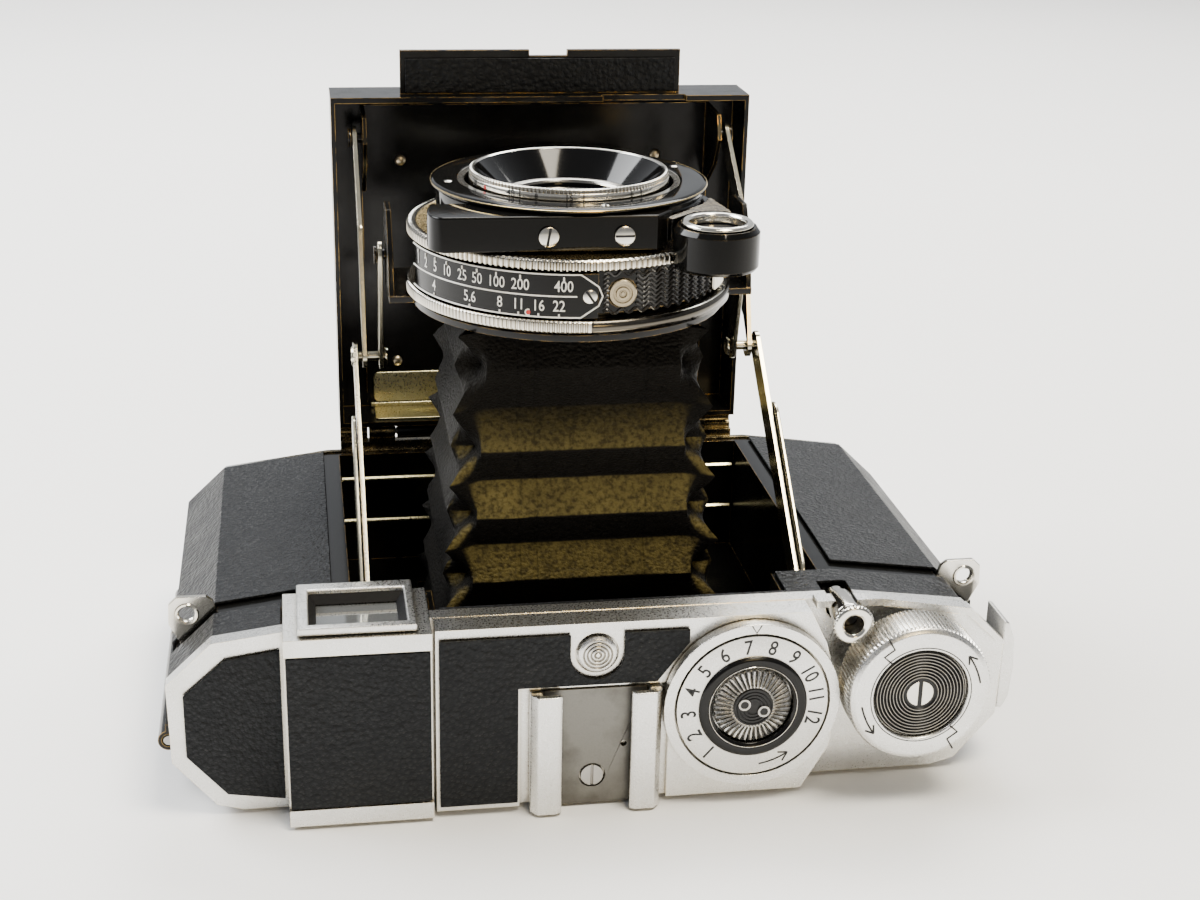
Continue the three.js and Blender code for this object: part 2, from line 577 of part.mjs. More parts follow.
function shutterHousing() {
  const { r, z0, z1, coreR, coreZ } = HOUSING;
  const socket = rod("y", 2.6, -40, -20, [4.8, 0, 91.5], 16);
  const wall = cut(lensRing(26.2, r, 88, z1), socket);
  return join(wall, lensRing(14, 27, z0, z1), lensRing(14, coreR, z1 - 1, coreZ));
}

function scalePlaque() {
  const outer = lensRing(28.9, 29.6, APERTURE[1] + GAP, 95.45);
  const wedge = prism("z", [LENS, [-60, -14], [-60, -60], [1.6, -60]], 80, 100);
  return outer.intersect(wedge);
}

function speedRing() {
  const [low, high] = [95.75, 98];
  const seat = HOUSING.z1 + GAP;
  const knurled = [[28.9, low], [30, low], [30, high - 0.3], [29.6, high]];
  const profile = [[22, seat], [28.9, seat], ...knurled, [22, high]];
  return turned("z", profile, LENS_CENTRE, 48);
}

// The arm holds the rangefinder's wedge beside the lens: a block on a collar round the lens.
function rangefinderArm() {
  const { low, collarLow, top } = ARM;
  const block = new THREE.Shape();
  block.moveTo(-27.6, -17);
  block.quadraticCurveTo(-30, -26, -26, -27.4);
  block.lineTo(11.4, -28);
  block.lineTo(14.4, -24);
  block.lineTo(14.4, -17);
  block.closePath();
  const web = prism("z", [[13, -24], [16, -32], [27, -31], [24, -8], [12, -8]], collarLow, 103.2);
  const body = join(lensRing(19.6, 24.6, collarLow, top), prism("z", block, low, top, 8), web);
  const coreRoom = lensRod(HOUSING.coreR + GAP, 90, collarLow);
  return cut(body, lensRod(19.6, 90, 110), coreRoom, wedgeRod(7.9, 90, 110));
}

function wedgeHousing() {
  const profile = [[5.2, 95.5], [7.2, 95.5], [7.6, 96.1], [7.6, 102.1], [6.9, 103], [5.2, 103]];
  return cut(turned("z", profile, WEDGE_CENTRE, 28), lensRod(30.4, 90, 98.4));
}

function focusRing() {
  const rim = [[17.4, ARM.top], [18.5, ARM.top], [18.5, RIM_Z - 0.3], [18.2, RIM_Z], [17.4, RIM_Z]];
  const cone = [[11.4, RIM_Z - 5.8], [11.4, 99.6], [18.6, 99.6], [18.6, ARM.top - 2], [17.4, ARM.top - 2]];
  return turned("z", [...rim, ...cone], LENS_CENTRE, 48);
}

function frontLens() {
  const profile = [[0, 100], [11, 100], [11, 101], [6, 102.2], [0, 102.6]];
  return turned("z", profile, LENS_CENTRE, 32);
}

// The bellows is a square zigzag tube, widest at the base. Its creases go out and in by turns.
const CREASES = [12.1, 18.2, 24.2, 30.2, 36, 42.4, 48.2, 54.8, 60.7, 68.4, 76, 82.7];

function bellowsLoops(thickness) {
  const [first, last] = [CREASES[0], CREASES[CREASES.length - 1]];
  return CREASES.map((z, i) => {
    const taper = (5 * (z - first)) / (last - first);
    const half = 27.6 - taper - (i % 2) * 2.6 - thickness;
    const corners = [[-half, -half], [half, -half], [half, half], [-half, half]];
    return corners.map(([x, y]) => [x + LENS[0], y + LENS[1], z]);
  });
}

function bellows() {
  const loops = [...bellowsLoops(0), ...bellowsLoops(1).reverse()];
  loops.push(loops[0]);
  const position = [];
  for (let i = 0; i + 1 < loops.length; i += 1) {
    for (let k = 0; k < 4; k += 1) {
      const [a, b, c, d] = [loops[i][k], loops[i][(k + 1) % 4], loops[i + 1][(k + 1) % 4], loops[i + 1][k]];
      position.push(...a, ...b, ...c, ...a, ...c, ...d);
    }
  }
  const geometry = new THREE.BufferGeometry();
  geometry.setAttribute("position", new THREE.BufferAttribute(new Float32Array(position), 3));
  return solid(geometry);
}

// ---- Assembly ------------------------------------------------------------------------------------
add("body_shell", bodyShell(), enamel);
add("leather_front_right", leatherWrap(), leather);
add("leather_front_left", mirrored(leatherWrap()), leather);
add("leather_strip_right", rightStrip(), leather);
add("leather_strip_left", leftStrip(), leather);
add("strap_lug_right", strapLug(), nickel);
add("strap_lug_left", mirrored(strapLug()), nickel);
add("top_cover", topCover(), chrome);
add("leather_top_left", leftInset(), leather);
add("leather_top_middle", middleInset(), leather);
add("shoe_base_plate", shoeBasePlate(), steel);
add("shoe_rail_left", shoeRail(-1), chrome);
add("shoe_rail_right", shoeRail(1), chrome);
add("shoe_screw", shoeScrew(), steel);
add("leather_finder", finderLeather(), leather);
add("finder_front_frame", windowFrame(FINDER.z1 + GAP, FINDER.z1 + 1.6), chrome);
add("finder_front_glass", finderGlass(34.6, 35.6), glass);
add("finder_rear_glass", finderGlass(2.4, 3.4), glass);
add("dial_ring", ring("y", 14.3, DIAL.r, DIAL.faceY, HOUSING_Y - GAP, DIAL_CENTRE, 48), chrome);
add("counter_disc", counterDisc(), chrome);
add("counter_star", counterStar(), nickel);
add("winding_knob", windingKnob(), chrome);
add("winding_screw", windingScrew(), nickel);
add("winding_shaft", rod("y", 2.4, KNOB.backY + GAP, CHAMBER.y0 + 0.9, KNOB_CENTRE), steel);
add("take_up_spool", takeUpSpool(), enamel);
add("release_button", releaseButton(), nickel);
add("door_button", doorButton(), chrome);
add("bottom_cover", bottomCover(), chrome);
add("door_hinge_pin", rod("x", 0.7, -37, 37, [0, ...HINGE], 14), steel);
add("tripod_bush", ring("y", 3.2, 4.9, BODY_BOTTOM_Y, BODY_BOTTOM_Y + 1.2, BUSH_CENTRE, 28), steel);
add("back_door", backDoor(), enamel);
add("leather_back", box(-62, 62, -38.5, 38.5, 0, LEATHER), leather);
add("pressure_plate", box(-31, 31, CHAMBER.y0 + 0.6, 29, 6.9, 7.7), steel);
add("film_roller_right", filmRoller(39.5), nickel);
add("film_roller_left", filmRoller(-39.5), nickel);
add("back_latch", backLatch(), chrome);
add("back_hinge_pin", rod("y", 1, -31, 31, [BACK_HINGE[0], 0, BACK_HINGE[1]], 14), steel);
add("door_pan", doorPan(), enamel);
add("door_leather", doorLeather(), leather);
add("door_tab_leather", tabLeather(), leather);
add("door_liner", doorLiner(), enamel);
add("lower_strut_right", lowerStrut(), nickel);
add("lower_strut_left", mirrored(lowerStrut()), nickel);
add("standard_arm_right", standardArm(), nickel);
add("standard_arm_left", mirrored(standardArm()), nickel);
add("door_stay_right", doorStay(), nickel);
add("door_stay_left", mirrored(doorStay()), nickel);
add("lens_standard", lensStandard(), enamel);
add("bellows", bellows(), bellowsLeather);
add("shutter_housing", shutterHousing(), enamel);
add("scale_plaque", scalePlaque(), enamel);
add("aperture_ring", lensRing(27.3, 30.3, ...APERTURE), nickel);
add("speed_ring", speedRing(), nickel);
add("rangefinder_arm", rangefinderArm(), enamel);
add("bezel_plate", lensRing(19.2, 25.6, ARM.top + 0.2, ARM.top + 1.2), enamel);
add("wedge_housing", wedgeHousing(), enamel);
add("wedge_ring", ring("z", 5.2, 6.4, 103.2, 103.9, WEDGE_CENTRE, 28), chrome);
add("wedge_glass", rod("z", 4.9, 99, 102, WEDGE_CENTRE, 24), glass);
add("focus_ring", focusRing(), nickel);
add("front_lens", frontLens(), glass);

export default group;
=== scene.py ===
# Looks for the open folding camera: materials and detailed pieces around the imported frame.
# Everything is in the frame's own axes: lens up +Z, top cover to -Y, door hinge to +Y.
# Lengths are in mm until the mesh is made.
import json
import math

import bmesh
import bpy
from mathutils import Matrix, Vector, noise


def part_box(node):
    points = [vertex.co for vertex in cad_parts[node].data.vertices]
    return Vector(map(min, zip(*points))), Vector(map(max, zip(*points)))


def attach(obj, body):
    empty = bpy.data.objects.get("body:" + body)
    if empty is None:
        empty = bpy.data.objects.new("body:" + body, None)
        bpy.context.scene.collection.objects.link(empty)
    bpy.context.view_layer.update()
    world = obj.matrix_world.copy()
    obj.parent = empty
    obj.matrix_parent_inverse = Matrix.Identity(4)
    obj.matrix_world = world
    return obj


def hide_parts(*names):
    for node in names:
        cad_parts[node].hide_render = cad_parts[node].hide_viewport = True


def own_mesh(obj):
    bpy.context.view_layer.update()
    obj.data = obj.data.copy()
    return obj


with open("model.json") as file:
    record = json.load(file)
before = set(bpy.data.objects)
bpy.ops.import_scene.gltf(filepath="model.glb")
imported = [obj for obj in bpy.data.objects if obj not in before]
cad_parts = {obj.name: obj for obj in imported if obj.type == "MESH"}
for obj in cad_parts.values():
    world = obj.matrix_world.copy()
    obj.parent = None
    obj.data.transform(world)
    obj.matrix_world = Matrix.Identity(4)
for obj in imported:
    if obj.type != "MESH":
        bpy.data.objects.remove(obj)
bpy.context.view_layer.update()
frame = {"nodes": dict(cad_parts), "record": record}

MM = 0.001

# Axes that pieces turn about: x and y where the axis is upright, x and z where it runs front to back.
LENS = (-0.8, -2.5)
WEDGE = (21.5, -29.2)
KNOB = (56.5, 22.9)
DIAL = (26.8, 20.1)
RELEASE = (44.4, 35.4)
DOOR_BUTTON = (-1.3, 31.2)

KNOB_FACE = -56.2  # y of the knob's flat rim
DIAL_FACE = -51.5  # y of the counter's printed face
PLAQUE_RADIUS = 29.62  # of the scale plaque's face, about the lens axis
ROD_SIDES = 6
PAINT_THICKNESS = 0.06

CAMERA_PLACE = (-50.53, -338.69, 182.46)
CAMERA_AHEAD = (0.15534, 0.92035, -0.35893)
CAMERA_ROLL = 1.31  # degrees
FOCAL_LENGTH = 55.94
SENSOR_WIDTH = 36

UP = Vector((0, 0, 1))
FULL_TURN = 2 * math.pi


def settle(thing, **settings):
    """Sets several properties of a Blender thing."""
    for key, value in settings.items():
        setattr(thing, key, value)
    return thing


def linked(name, data):
    """A new object in the scene."""
    made = bpy.data.objects.new(name, data)
    bpy.context.scene.collection.objects.link(made)
    return made


# ---- Camera, floor and light ----


def make_camera():
    """The viewer's place, with the horizon tipped by the camera's roll."""
    data = settle(bpy.data.cameras.new("camera"), lens=FOCAL_LENGTH, sensor_width=SENSOR_WIDTH,
                  clip_start=0.01, clip_end=20)
    camera = linked("camera", data)
    forward = Vector(CAMERA_AHEAD).normalized()
    level = forward.cross(UP).normalized()
    above = level.cross(forward)
    roll = math.radians(CAMERA_ROLL)
    right = level * math.cos(roll) + above * math.sin(roll)
    up = above * math.cos(roll) - level * math.sin(roll)
    turn = Matrix((right, up, -forward)).transposed().to_4x4()
    camera.matrix_world = Matrix.Translation(Vector(CAMERA_PLACE) * MM) @ turn
    bpy.context.scene.camera = camera


def make_floor(material, half=8.0):
    """A wide pale sheet under the object, open on every side."""
    mesh = bpy.data.meshes.new("floor")
    corners = [(-half, -half, 0), (half, -half, 0), (half, half, 0), (-half, half, 0)]
    mesh.from_pydata(corners, [], [(0, 1, 2, 3)])
    mesh.materials.append(material)
    linked("floor", mesh)


def make_light(name, place, target, width, height, power, color):
    """A soft rectangular light, with its size in metres and its power in watts."""
    data = settle(bpy.data.lights.new(name, "AREA"), shape="RECTANGLE", size=width, size_y=height,
                  energy=power, color=color)
    aim = Vector(target) - Vector(place)
    settle(linked(name, data), location=place, rotation_euler=aim.to_track_quat("-Z", "Y").to_euler())


def make_world():
    """A room that is pale above and behind the object, and darker towards the viewer."""
    world = bpy.data.worlds.new("room")
    world.use_nodes = True
    bpy.context.scene.world = world
    tree = world.node_tree
    background = tree.nodes["Background"]
    background.inputs["Strength"].default_value = 0.84
    place = tree.nodes.new("ShaderNodeTexCoord")
    split = tree.nodes.new("ShaderNodeSeparateXYZ")
    room = tree.nodes.new("ShaderNodeValToRGB")
    tree.links.new(place.outputs["Generated"], split.inputs[0])
    tree.links.new(split.outputs["Y"], room.inputs["Fac"])
    tree.links.new(room.outputs["Color"], background.inputs["Color"])
    near, far = room.color_ramp.elements
    settle(near, position=0.0, color=(0.33, 0.34, 0.36, 1))
    settle(far, position=0.5, color=(0.93, 0.96, 1.0, 1))


def make_lights():
    """Two windows, a warm ceiling lamp, and a small warm lamp beside the viewer for the glints."""
    make_light("window_left", (-0.9, 0.35, 0.95), (0, 0, 0.03), 0.9, 0.7, 37, (0.97, 0.985, 1.0))
    make_light("window_back", (0.35, 0.75, 1.0), (0, 0.05, 0.03), 1.0, 0.5, 24, (1.0, 0.985, 0.95))
    make_light("ceiling", (0.28, -0.32, 1.15), (0, 0, 0.0), 0.4, 0.4, 17, (1.0, 0.91, 0.74))
    make_light("lamp", (0.24, -1.12, 0.52), (0, 0, 0.06), 0.26, 0.2, 2.4, (1.0, 0.76, 0.38))


# ---- Materials ----


class Graph:
    """One procedural material. Its texture coordinates are the piece's own, in metres."""

    def __init__(self, name, **sockets):
        self.material = bpy.data.materials.new(name)
        self.material.use_nodes = True
        self.tree = self.material.node_tree
        self.shader = self.tree.nodes["Principled BSDF"]
        for socket, value in sockets.items():
            self.shader.inputs[socket.replace("_", " ")].default_value = value
        self.place = self.node("ShaderNodeTexCoord").outputs["Object"]

    def node(self, kind, inputs=None, **settings):
        node = settle(self.tree.nodes.new(kind), **settings)
        for key, value in (inputs or {}).items():
            self.connect(value, node.inputs[key])
        return node

    def connect(self, value, socket):
        if isinstance(value, bpy.types.NodeSocket):
            self.tree.links.new(value, socket)
        else:
            socket.default_value = value

    def set(self, socket, value):
        self.connect(value, self.shader.inputs[socket])

    def noise(self, size, detail=4.0, rough=0.55, distortion=0.0):
        """Fractal noise whose largest features are about size millimetres across."""
        made = self.node("ShaderNodeTexNoise", {
            "Vector": self.place, "Scale": 1 / (size * MM), "Detail": detail, "Roughness": rough,
            "Distortion": distortion})
        return made.outputs["Fac"]

    def cells(self, size, feature="F1", smooth=0.2, stretch=None):
        """Distance from the middle of cells about size millimetres across."""
        place = self.place
        if stretch:
            place = self.node("ShaderNodeMapping", {"Vector": place, "Scale": stretch}).outputs[0]
        made = self.node("ShaderNodeTexVoronoi", {"Vector": place, "Scale": 1 / (size * MM)}, feature=feature)
        if feature == "SMOOTH_F1":
            made.inputs["Smoothness"].default_value = smooth
        return made.outputs["Distance"]

    def along(self, axis, unit=1.0):
        """The place along X, Y or Z, counted in units of the given millimetres."""
        metres = self.node("ShaderNodeSeparateXYZ", {"Vector": self.place}).outputs[axis]
        return self.math("MULTIPLY", metres, 1 / (unit * MM))

    def ramp(self, value, *stops):
        """Maps a value through stops of (position, colour or number)."""
        made = self.node("ShaderNodeValToRGB", {"Fac": value})
        points = made.color_ramp.elements
        while len(points) < len(stops):
            points.new(0.5)
        for point, (position, color) in zip(points, stops):
            level = color if isinstance(color, tuple) else (color,) * 3
            settle(point, position=position, color=(*level, 1))
        return made.outputs["Color"]

    def mix(self, factor, a, b):
        made = self.node("ShaderNodeMix", data_type="RGBA")
        for value, socket in ((factor, made.inputs[0]), (a, made.inputs[6]), (b, made.inputs[7])):
            if isinstance(value, tuple) and len(value) == 3:
                value = (*value, 1)
            self.connect(value, socket)
        return made.outputs[2]

    def math(self, operation, a, b=0.0):
        made = self.node("ShaderNodeMath", operation=operation)
        self.connect(a, made.inputs[0])
        self.connect(b, made.inputs[1])
        return made.outputs[0]

    def product(self, first, *others):
        for other in others:
            first = self.math("MULTIPLY", first, other)
        return first

    def bump(self, height, depth):
        """Relief of the given depth in millimetres."""
        return self.node("ShaderNodeBump", {"Height": height, "Distance": depth * MM}).outputs["Normal"]

    def edges(self, radius, low=0.02, high=0.2):
        """White where the surface turns within radius millimetres, as at an edge."""
        soft = self.node("ShaderNodeBevel", samples=6)
        soft.inputs["Radius"].default_value = radius * MM
        plain = self.node("ShaderNodeNewGeometry").outputs["Normal"]
        across = self.node("ShaderNodeVectorMath", operation="DOT_PRODUCT")
        self.connect(soft.outputs[0], across.inputs[0])
        self.connect(plain, across.inputs[1])
        turned = self.math("SUBTRACT", 1.0, across.outputs["Value"])
        return self.ramp(turned, (low, 0.0), (high, 1.0))

    def corners(self, reach):
        """Painted shade: white in the open, black in corners within reach millimetres, from ambient
        occlusion.
        """
        made = self.node("ShaderNodeAmbientOcclusion", samples=6)
        made.inputs["Distance"].default_value = reach * MM
        return self.ramp(made.outputs["AO"], (0.35, 0.0), (0.9, 1.0))


def paper():
    """The floor: pale card with a painted shadow that turns it greyer towards the viewer, to put some
    contrast in the chrome.
    """
    g = Graph("paper", Roughness=0.85)
    pale = g.ramp(g.noise(400, 2), (0.3, (0.90, 0.895, 0.885)), (0.7, (0.94, 0.937, 0.93)))
    # Painted shadow: the card greys towards the viewer.
    ahead = g.ramp(g.along("Y", -1000), (0.17, 0.0), (0.4, 1.0))
    g.set("Base Color", g.mix(ahead, pale, (0.45, 0.45, 0.45)))
    g.set("Normal", g.bump(g.noise(1.2, 3), 0.02))
    return g.material


def metal(name, color, grime_and_shade, worn, rough, wear=0.5, dirt=0.35):
    """Plated metal: satin faces, warm worn edges, painted shade in the corners in the grime colour, faint
    scratches.
    """
    g = Graph(name, Metallic=1.0)
    cloud = g.ramp(g.noise(9, 5), (0.4, 0.0), (0.8, dirt))
    streak = g.noise(0.35, 4)
    edges = g.edges(0.35)
    patches = g.ramp(g.noise(2.4, 4), (0.5 - 0.25 * wear, 0.0), (0.75, 1.0))
    tone = g.mix(cloud, color, grime_and_shade)
    tone = g.mix(g.product(edges, patches), tone, worn)
    # Painted shade: the ambient-occlusion mask darkens corners towards the grime colour.
    g.set("Base Color", g.mix(g.corners(1.2), grime_and_shade, tone))
    satin = g.ramp(streak, (0.3, rough * 0.75), (0.75, rough * 1.3))
    g.set("Roughness", g.mix(edges, satin, (0.09, 0.09, 0.09)))
    g.set("Normal", g.bump(streak, 0.003))
    return g.material


def enamel(name="black_enamel", rough=0.12, shine=0.24):
    """Stove enamel: gloss black, thin brass lines where edges have worn, brown rubbed places."""
    bare_brass = (0.42, 0.27, 0.09)
    g = Graph(name, Specular_IOR_Level=shine)
    rubbed = g.ramp(g.noise(16, 5), (0.55, 0.0), (0.8, 0.35))
    tone = g.mix(rubbed, (0.003, 0.003, 0.0028), (0.009, 0.006, 0.004))
    patches = g.ramp(g.noise(3.2, 5), (0.4, 0.0), (0.56, 1.0))
    bare = g.product(g.edges(0.35, 0.04, 0.16), patches)
    g.set("Base Color", g.mix(bare, tone, bare_brass))
    g.set("Metallic", bare)
    g.set("Roughness", g.ramp(g.noise(5, 5), (0.3, rough), (0.8, rough * 2.2)))
    g.set("Normal", g.bump(g.noise(1.6, 3), 0.004))
    return g.material


def pebble_leather():
    """Pressed pebble grain: rounded raised grains with fine creases between them."""
    size = 0.9
    rough = 0.33
    g = Graph("grained_leather", Specular_IOR_Level=0.15, Specular_Tint=(0.88, 0.94, 1.0, 1))
    warp = g.noise(size * 3.5, 3, distortion=0.4)
    grain = g.cells(size, "SMOOTH_F1", smooth=0.35)
    fine = g.cells(size * 0.42)
    relief = g.math("ADD", g.product(grain, -1.0), g.product(fine, -0.35))
    relief = g.math("ADD", relief, g.product(warp, 0.9))
    g.set("Normal", g.bump(relief, 0.26))
    # Painted shade: the creases between grains are coloured darker than the raised tops.
    crease = g.ramp(grain, (0.1, (0.0115, 0.0118, 0.0125)), (0.6, (0.005, 0.005, 0.0054)))
    rubbed = g.ramp(g.noise(18, 5), (0.5, 0.0), (0.9, 0.5))
    g.set("Base Color", g.mix(rubbed, crease, (0.0145, 0.0142, 0.0135)))
    g.set("Roughness", g.ramp(g.noise(6, 4), (0.3, rough), (0.8, rough * 1.45)))
    return g.material


def soft_leather():
    """The bellows' thin leather: fine crossed creases and pressed seam lines, with mottled golden painted
    light on the lower folds' up-facing bands, at the front and back, stopping below the upper folds that the
    shutter housing shades."""
    seams, seam_width = (-12.5, -9.4, 10.6), 0.45
    golden = (0.105, 0.083, 0.027)
    g = Graph("bellows_leather", Specular_IOR_Level=0.1, Specular_Tint=(1.0, 0.9, 0.72, 1))
    crease = g.cells(0.8, stretch=(1.0, 1.0, 1.4))
    fine = g.noise(0.45, 5, 0.65)
    relief = g.math("ADD", g.product(crease, -0.7), fine)
    across = g.along("X")
    for seam in seams:
        away = g.math("ABSOLUTE", g.math("SUBTRACT", across, seam))
        groove = g.ramp(g.product(away, 1 / seam_width), (0.3, 1.0), (1.0, 0.0))
        relief = g.math("SUBTRACT", relief, g.product(groove, 0.8))
    g.set("Normal", g.bump(relief, 0.34))
    normal = g.node("ShaderNodeNewGeometry").outputs["Normal"]
    # Painted light: bands that face up, at the front and back, take a golden colour for the warm lamp above
    # them.
    facing = g.node("ShaderNodeSeparateXYZ", {"Vector": normal})
    upward = g.ramp(facing.outputs["Z"], (0.05, 0.0), (0.3, 1.0))
    ahead = g.ramp(g.math("ABSOLUTE", facing.outputs["Y"]), (0.45, 0.0), (0.8, 1.0))
    # Painted shade: the golden light stops below the upper folds, which the shutter housing shades.
    low = g.ramp(g.along("Z", 100), (0.6, 1.0), (0.7, 0.0))
    grains = g.ramp(g.noise(0.9, 3, 0.6), (0.34, 0.32), (0.58, 1.0))
    clouds = g.ramp(g.noise(7, 4), (0.3, 0.7), (0.7, 1.0))
    painted_band_light = g.product(upward, ahead, low, grains, clouds)
    black = g.ramp(g.noise(10, 5), (0.3, (0.0011, 0.0011, 0.0013)), (0.75, (0.0024, 0.0024, 0.0026)))
    g.set("Base Color", g.mix(painted_band_light, black, golden))
    g.set("Roughness", g.ramp(fine, (0.3, 0.38), (0.75, 0.55)))
    return g.material


def dark_glass():
    """Coated lens glass over a dark barrel."""
    g = Graph("coated_glass", Roughness=0.03, Coat_Weight=1.0, Coat_Roughness=0.02)
    tone = g.ramp(g.noise(20, 2), (0.3, (0.006, 0.006, 0.007)), (0.8, (0.016, 0.015, 0.017)))
    g.set("Base Color", tone)
    return g.material


def window_glass():
    """Half-silvered finder glass: a grey reflecting upper part and a dark lower part with a soft border."""
    g = Graph("finder_window_glass", Roughness=0.05)
    wavy = g.math("ADD", g.along("Y", 18), g.product(g.noise(9, 3), 0.35))
    part = g.ramp(g.math("ADD", wavy, 2.4), (0.05, 0.0), (0.14, 1.0))
    g.set("Base Color", g.mix(part, (0.012, 0.012, 0.012), (0.26, 0.27, 0.27)))
    g.set("Metallic", g.product(part, 0.75))
    return g.material


def paint(name, color, rough=0.4, shine=0.5):
    """Filled figures and lines: flat paint with a little unevenness."""
    g = Graph(name, Specular_IOR_Level=shine)
    dull = tuple(0.72 * level for level in color)
    g.set("Base Color", g.mix(g.ramp(g.noise(0.9, 4), (0.45, 0.0), (0.8, 0.7)), color, dull))
    g.set("Roughness", g.ramp(g.noise(0.5, 3), (0.3, rough), (0.8, rough * 1.4)))
    return g.material


CHROME = (0.74, 0.735, 0.715)
DULLED_CHROME = (0.42, 0.39, 0.33)


def hinge_cover():
    """The bottom cover: satin chrome outside, with its hinge lugs in a dull mottled gold, a painted golden
    reflection.
    """
    g = Graph("bottom_cover", Metallic=1.0)
    lugs = g.ramp(g.along("Z", 100), (0.335, 0.0), (0.35, 1.0))
    outside = g.mix(g.ramp(g.noise(9, 5), (0.4, 0.0), (0.8, 0.25)), CHROME, DULLED_CHROME)
    # Painted reflection: the mottled dark gold on the lugs stands for the golden glints on them.
    worn = g.ramp(g.noise(3, 5), (0.4, (0.035, 0.03, 0.02)), (0.7, (0.26, 0.21, 0.11)))
    g.set("Base Color", g.mix(lugs, outside, worn))
    g.set("Roughness", g.ramp(g.noise(0.4, 4), (0.3, 0.2), (0.75, 0.36)))
    return g.material


def latch_plating():
    """The back latch: satin chrome outside, and on the flat side that faces the body a pale non-metal colour,
    painted light that keeps that side bright.
    """
    g = Graph("latch_plating")
    # Painted light: the side that faces the body is not metallic, so its pale colour shows lit instead of
    # reflecting the black body.
    outer = g.ramp(g.along("X", 100), (0.7665, 0.0), (0.769, 1.0))
    cloud = g.ramp(g.noise(9, 5), (0.4, 0.0), (0.8, 0.25))
    g.set("Base Color", g.mix(cloud, CHROME, (0.5, 0.48, 0.43)))
    g.set("Metallic", outer)
    g.set("Roughness", g.ramp(g.noise(0.4, 4), (0.3, 0.24), (0.75, 0.38)))
    return g.material


# Each metal: its clean colour, its grime colour (also used for the painted shade in corners), its worn
# colour, and its roughness.
SATIN = metal("satin_chrome", CHROME, DULLED_CHROME, (0.84, 0.70, 0.42), 0.3, wear=0.7, dirt=0.25)
NICKEL = metal("nickel", (0.78, 0.755, 0.69), (0.30, 0.26, 0.19), (0.88, 0.72, 0.42), 0.16, wear=0.6)
# Painted light and shade: the struts' nickel is darker and warmer than plain nickel, for the shade and golden
# glints on them.
STRUT = metal("strut_nickel", (0.60, 0.56, 0.44), (0.20, 0.17, 0.11), (0.85, 0.74, 0.48), 0.2, wear=0.6)
DARK_NICKEL = metal("dark_nickel", (0.30, 0.285, 0.26), (0.12, 0.11, 0.09), (0.6, 0.5, 0.3), 0.2, wear=0.6)
STEEL = metal("steel", (0.42, 0.41, 0.39), (0.20, 0.185, 0.16), (0.6, 0.55, 0.45), 0.4, wear=0.4)
STAINED_STEEL = metal("stained_steel", (0.17, 0.165, 0.15), (0.045, 0.04, 0.033), (0.4, 0.37, 0.31), 0.42,
                      wear=0.2, dirt=0.95)
BRASS = metal("brass", (0.62, 0.47, 0.22), (0.25, 0.18, 0.08), (0.85, 0.68, 0.36), 0.26, wear=0.6)
DULL_BRASS = metal("dull_brass", (0.46, 0.39, 0.27), (0.20, 0.16, 0.10), (0.66, 0.55, 0.34), 0.34)
GILT = metal("gilt_plate", (0.76, 0.70, 0.43), (0.40, 0.34, 0.17), (0.88, 0.79, 0.50), 0.3, dirt=0.5)
DARK_BAND = metal("dark_band", (0.10, 0.09, 0.075), (0.03, 0.027, 0.02), (0.5, 0.38, 0.2), 0.2)
ENAMEL = enamel()
BEZEL = enamel("bezel_enamel", rough=0.05, shine=0.16)
LEATHER = pebble_leather()
BELLOWS = soft_leather()
GLASS = dark_glass()
MIRROR_GLASS = window_glass()
WHITE = paint("white_paint", (0.78, 0.76, 0.70))
RED = paint("red_paint", (0.55, 0.03, 0.02))
BLACK = paint("black_paint", (0.006, 0.006, 0.0065), 0.3, shine=0.3)
BLACKENED = paint("blackened_brass", (0.012, 0.010, 0.008), 0.24, shine=0.45)
CONE = paint("name_ring_enamel", (0.002, 0.002, 0.002), 0.07, shine=0.25)

# The finish of each material slot, and of the CAD nodes that differ from their slot.
SLOT_LOOKS = {
    "chrome_cover": SATIN, "nickel": NICKEL, "steel": STEEL, "black_enamel": ENAMEL,
    "grained_leather": LEATHER, "bellows_leather": BELLOWS, "clear_glass": GLASS,
}
NODE_LOOKS = {
    "shoe_base_plate": STAINED_STEEL, "tripod_bush": BRASS, "bottom_cover": hinge_cover(),
    "back_latch": latch_plating(), "rangefinder_arm": BEZEL, "wedge_housing": BEZEL,
}
for link in ("lower_strut", "standard_arm", "door_stay"):
    NODE_LOOKS[f"{link}_left"] = NODE_LOOKS[f"{link}_right"] = STRUT

# ---- Mesh making ----


def piece(name, vertices, faces, materials, body, kinds=None, sharp=38, nodes=(), slot=None):
    """A named mesh in millimetres that rides on a body. kinds gives each face's material."""
    mesh = bpy.data.meshes.new(name)
    mesh.from_pydata([tuple(part * MM for part in v) for v in vertices], [], faces)
    for material in materials:
        mesh.materials.append(material)
    if kinds:
        mesh.polygons.foreach_set("material_index", kinds)
    work = bmesh.new()
    work.from_mesh(mesh)
    bmesh.ops.remove_doubles(work, verts=work.verts, dist=0.000002)
    bmesh.ops.recalc_face_normals(work, faces=work.faces)
    work.to_mesh(mesh)
    work.free()
    mesh.shade_smooth()
    mesh.set_sharp_from_angle(angle=math.radians(sharp))
    made = linked(name, mesh)
    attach(made, body)
    if nodes:
        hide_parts(*nodes)
    return made


def placed(axis, centre, radius, angle, along):
    """A point at a radius and angle about an axis, at a place along it.
    Angle 0 is up, or +X about z, and it grows clockwise for axis y."""
    across, rise = radius * math.sin(angle), radius * math.cos(angle)
    if axis == "z":
        across, rise = rise, across
    return laid(axis, (centre[0] + across, centre[1] + rise), along)


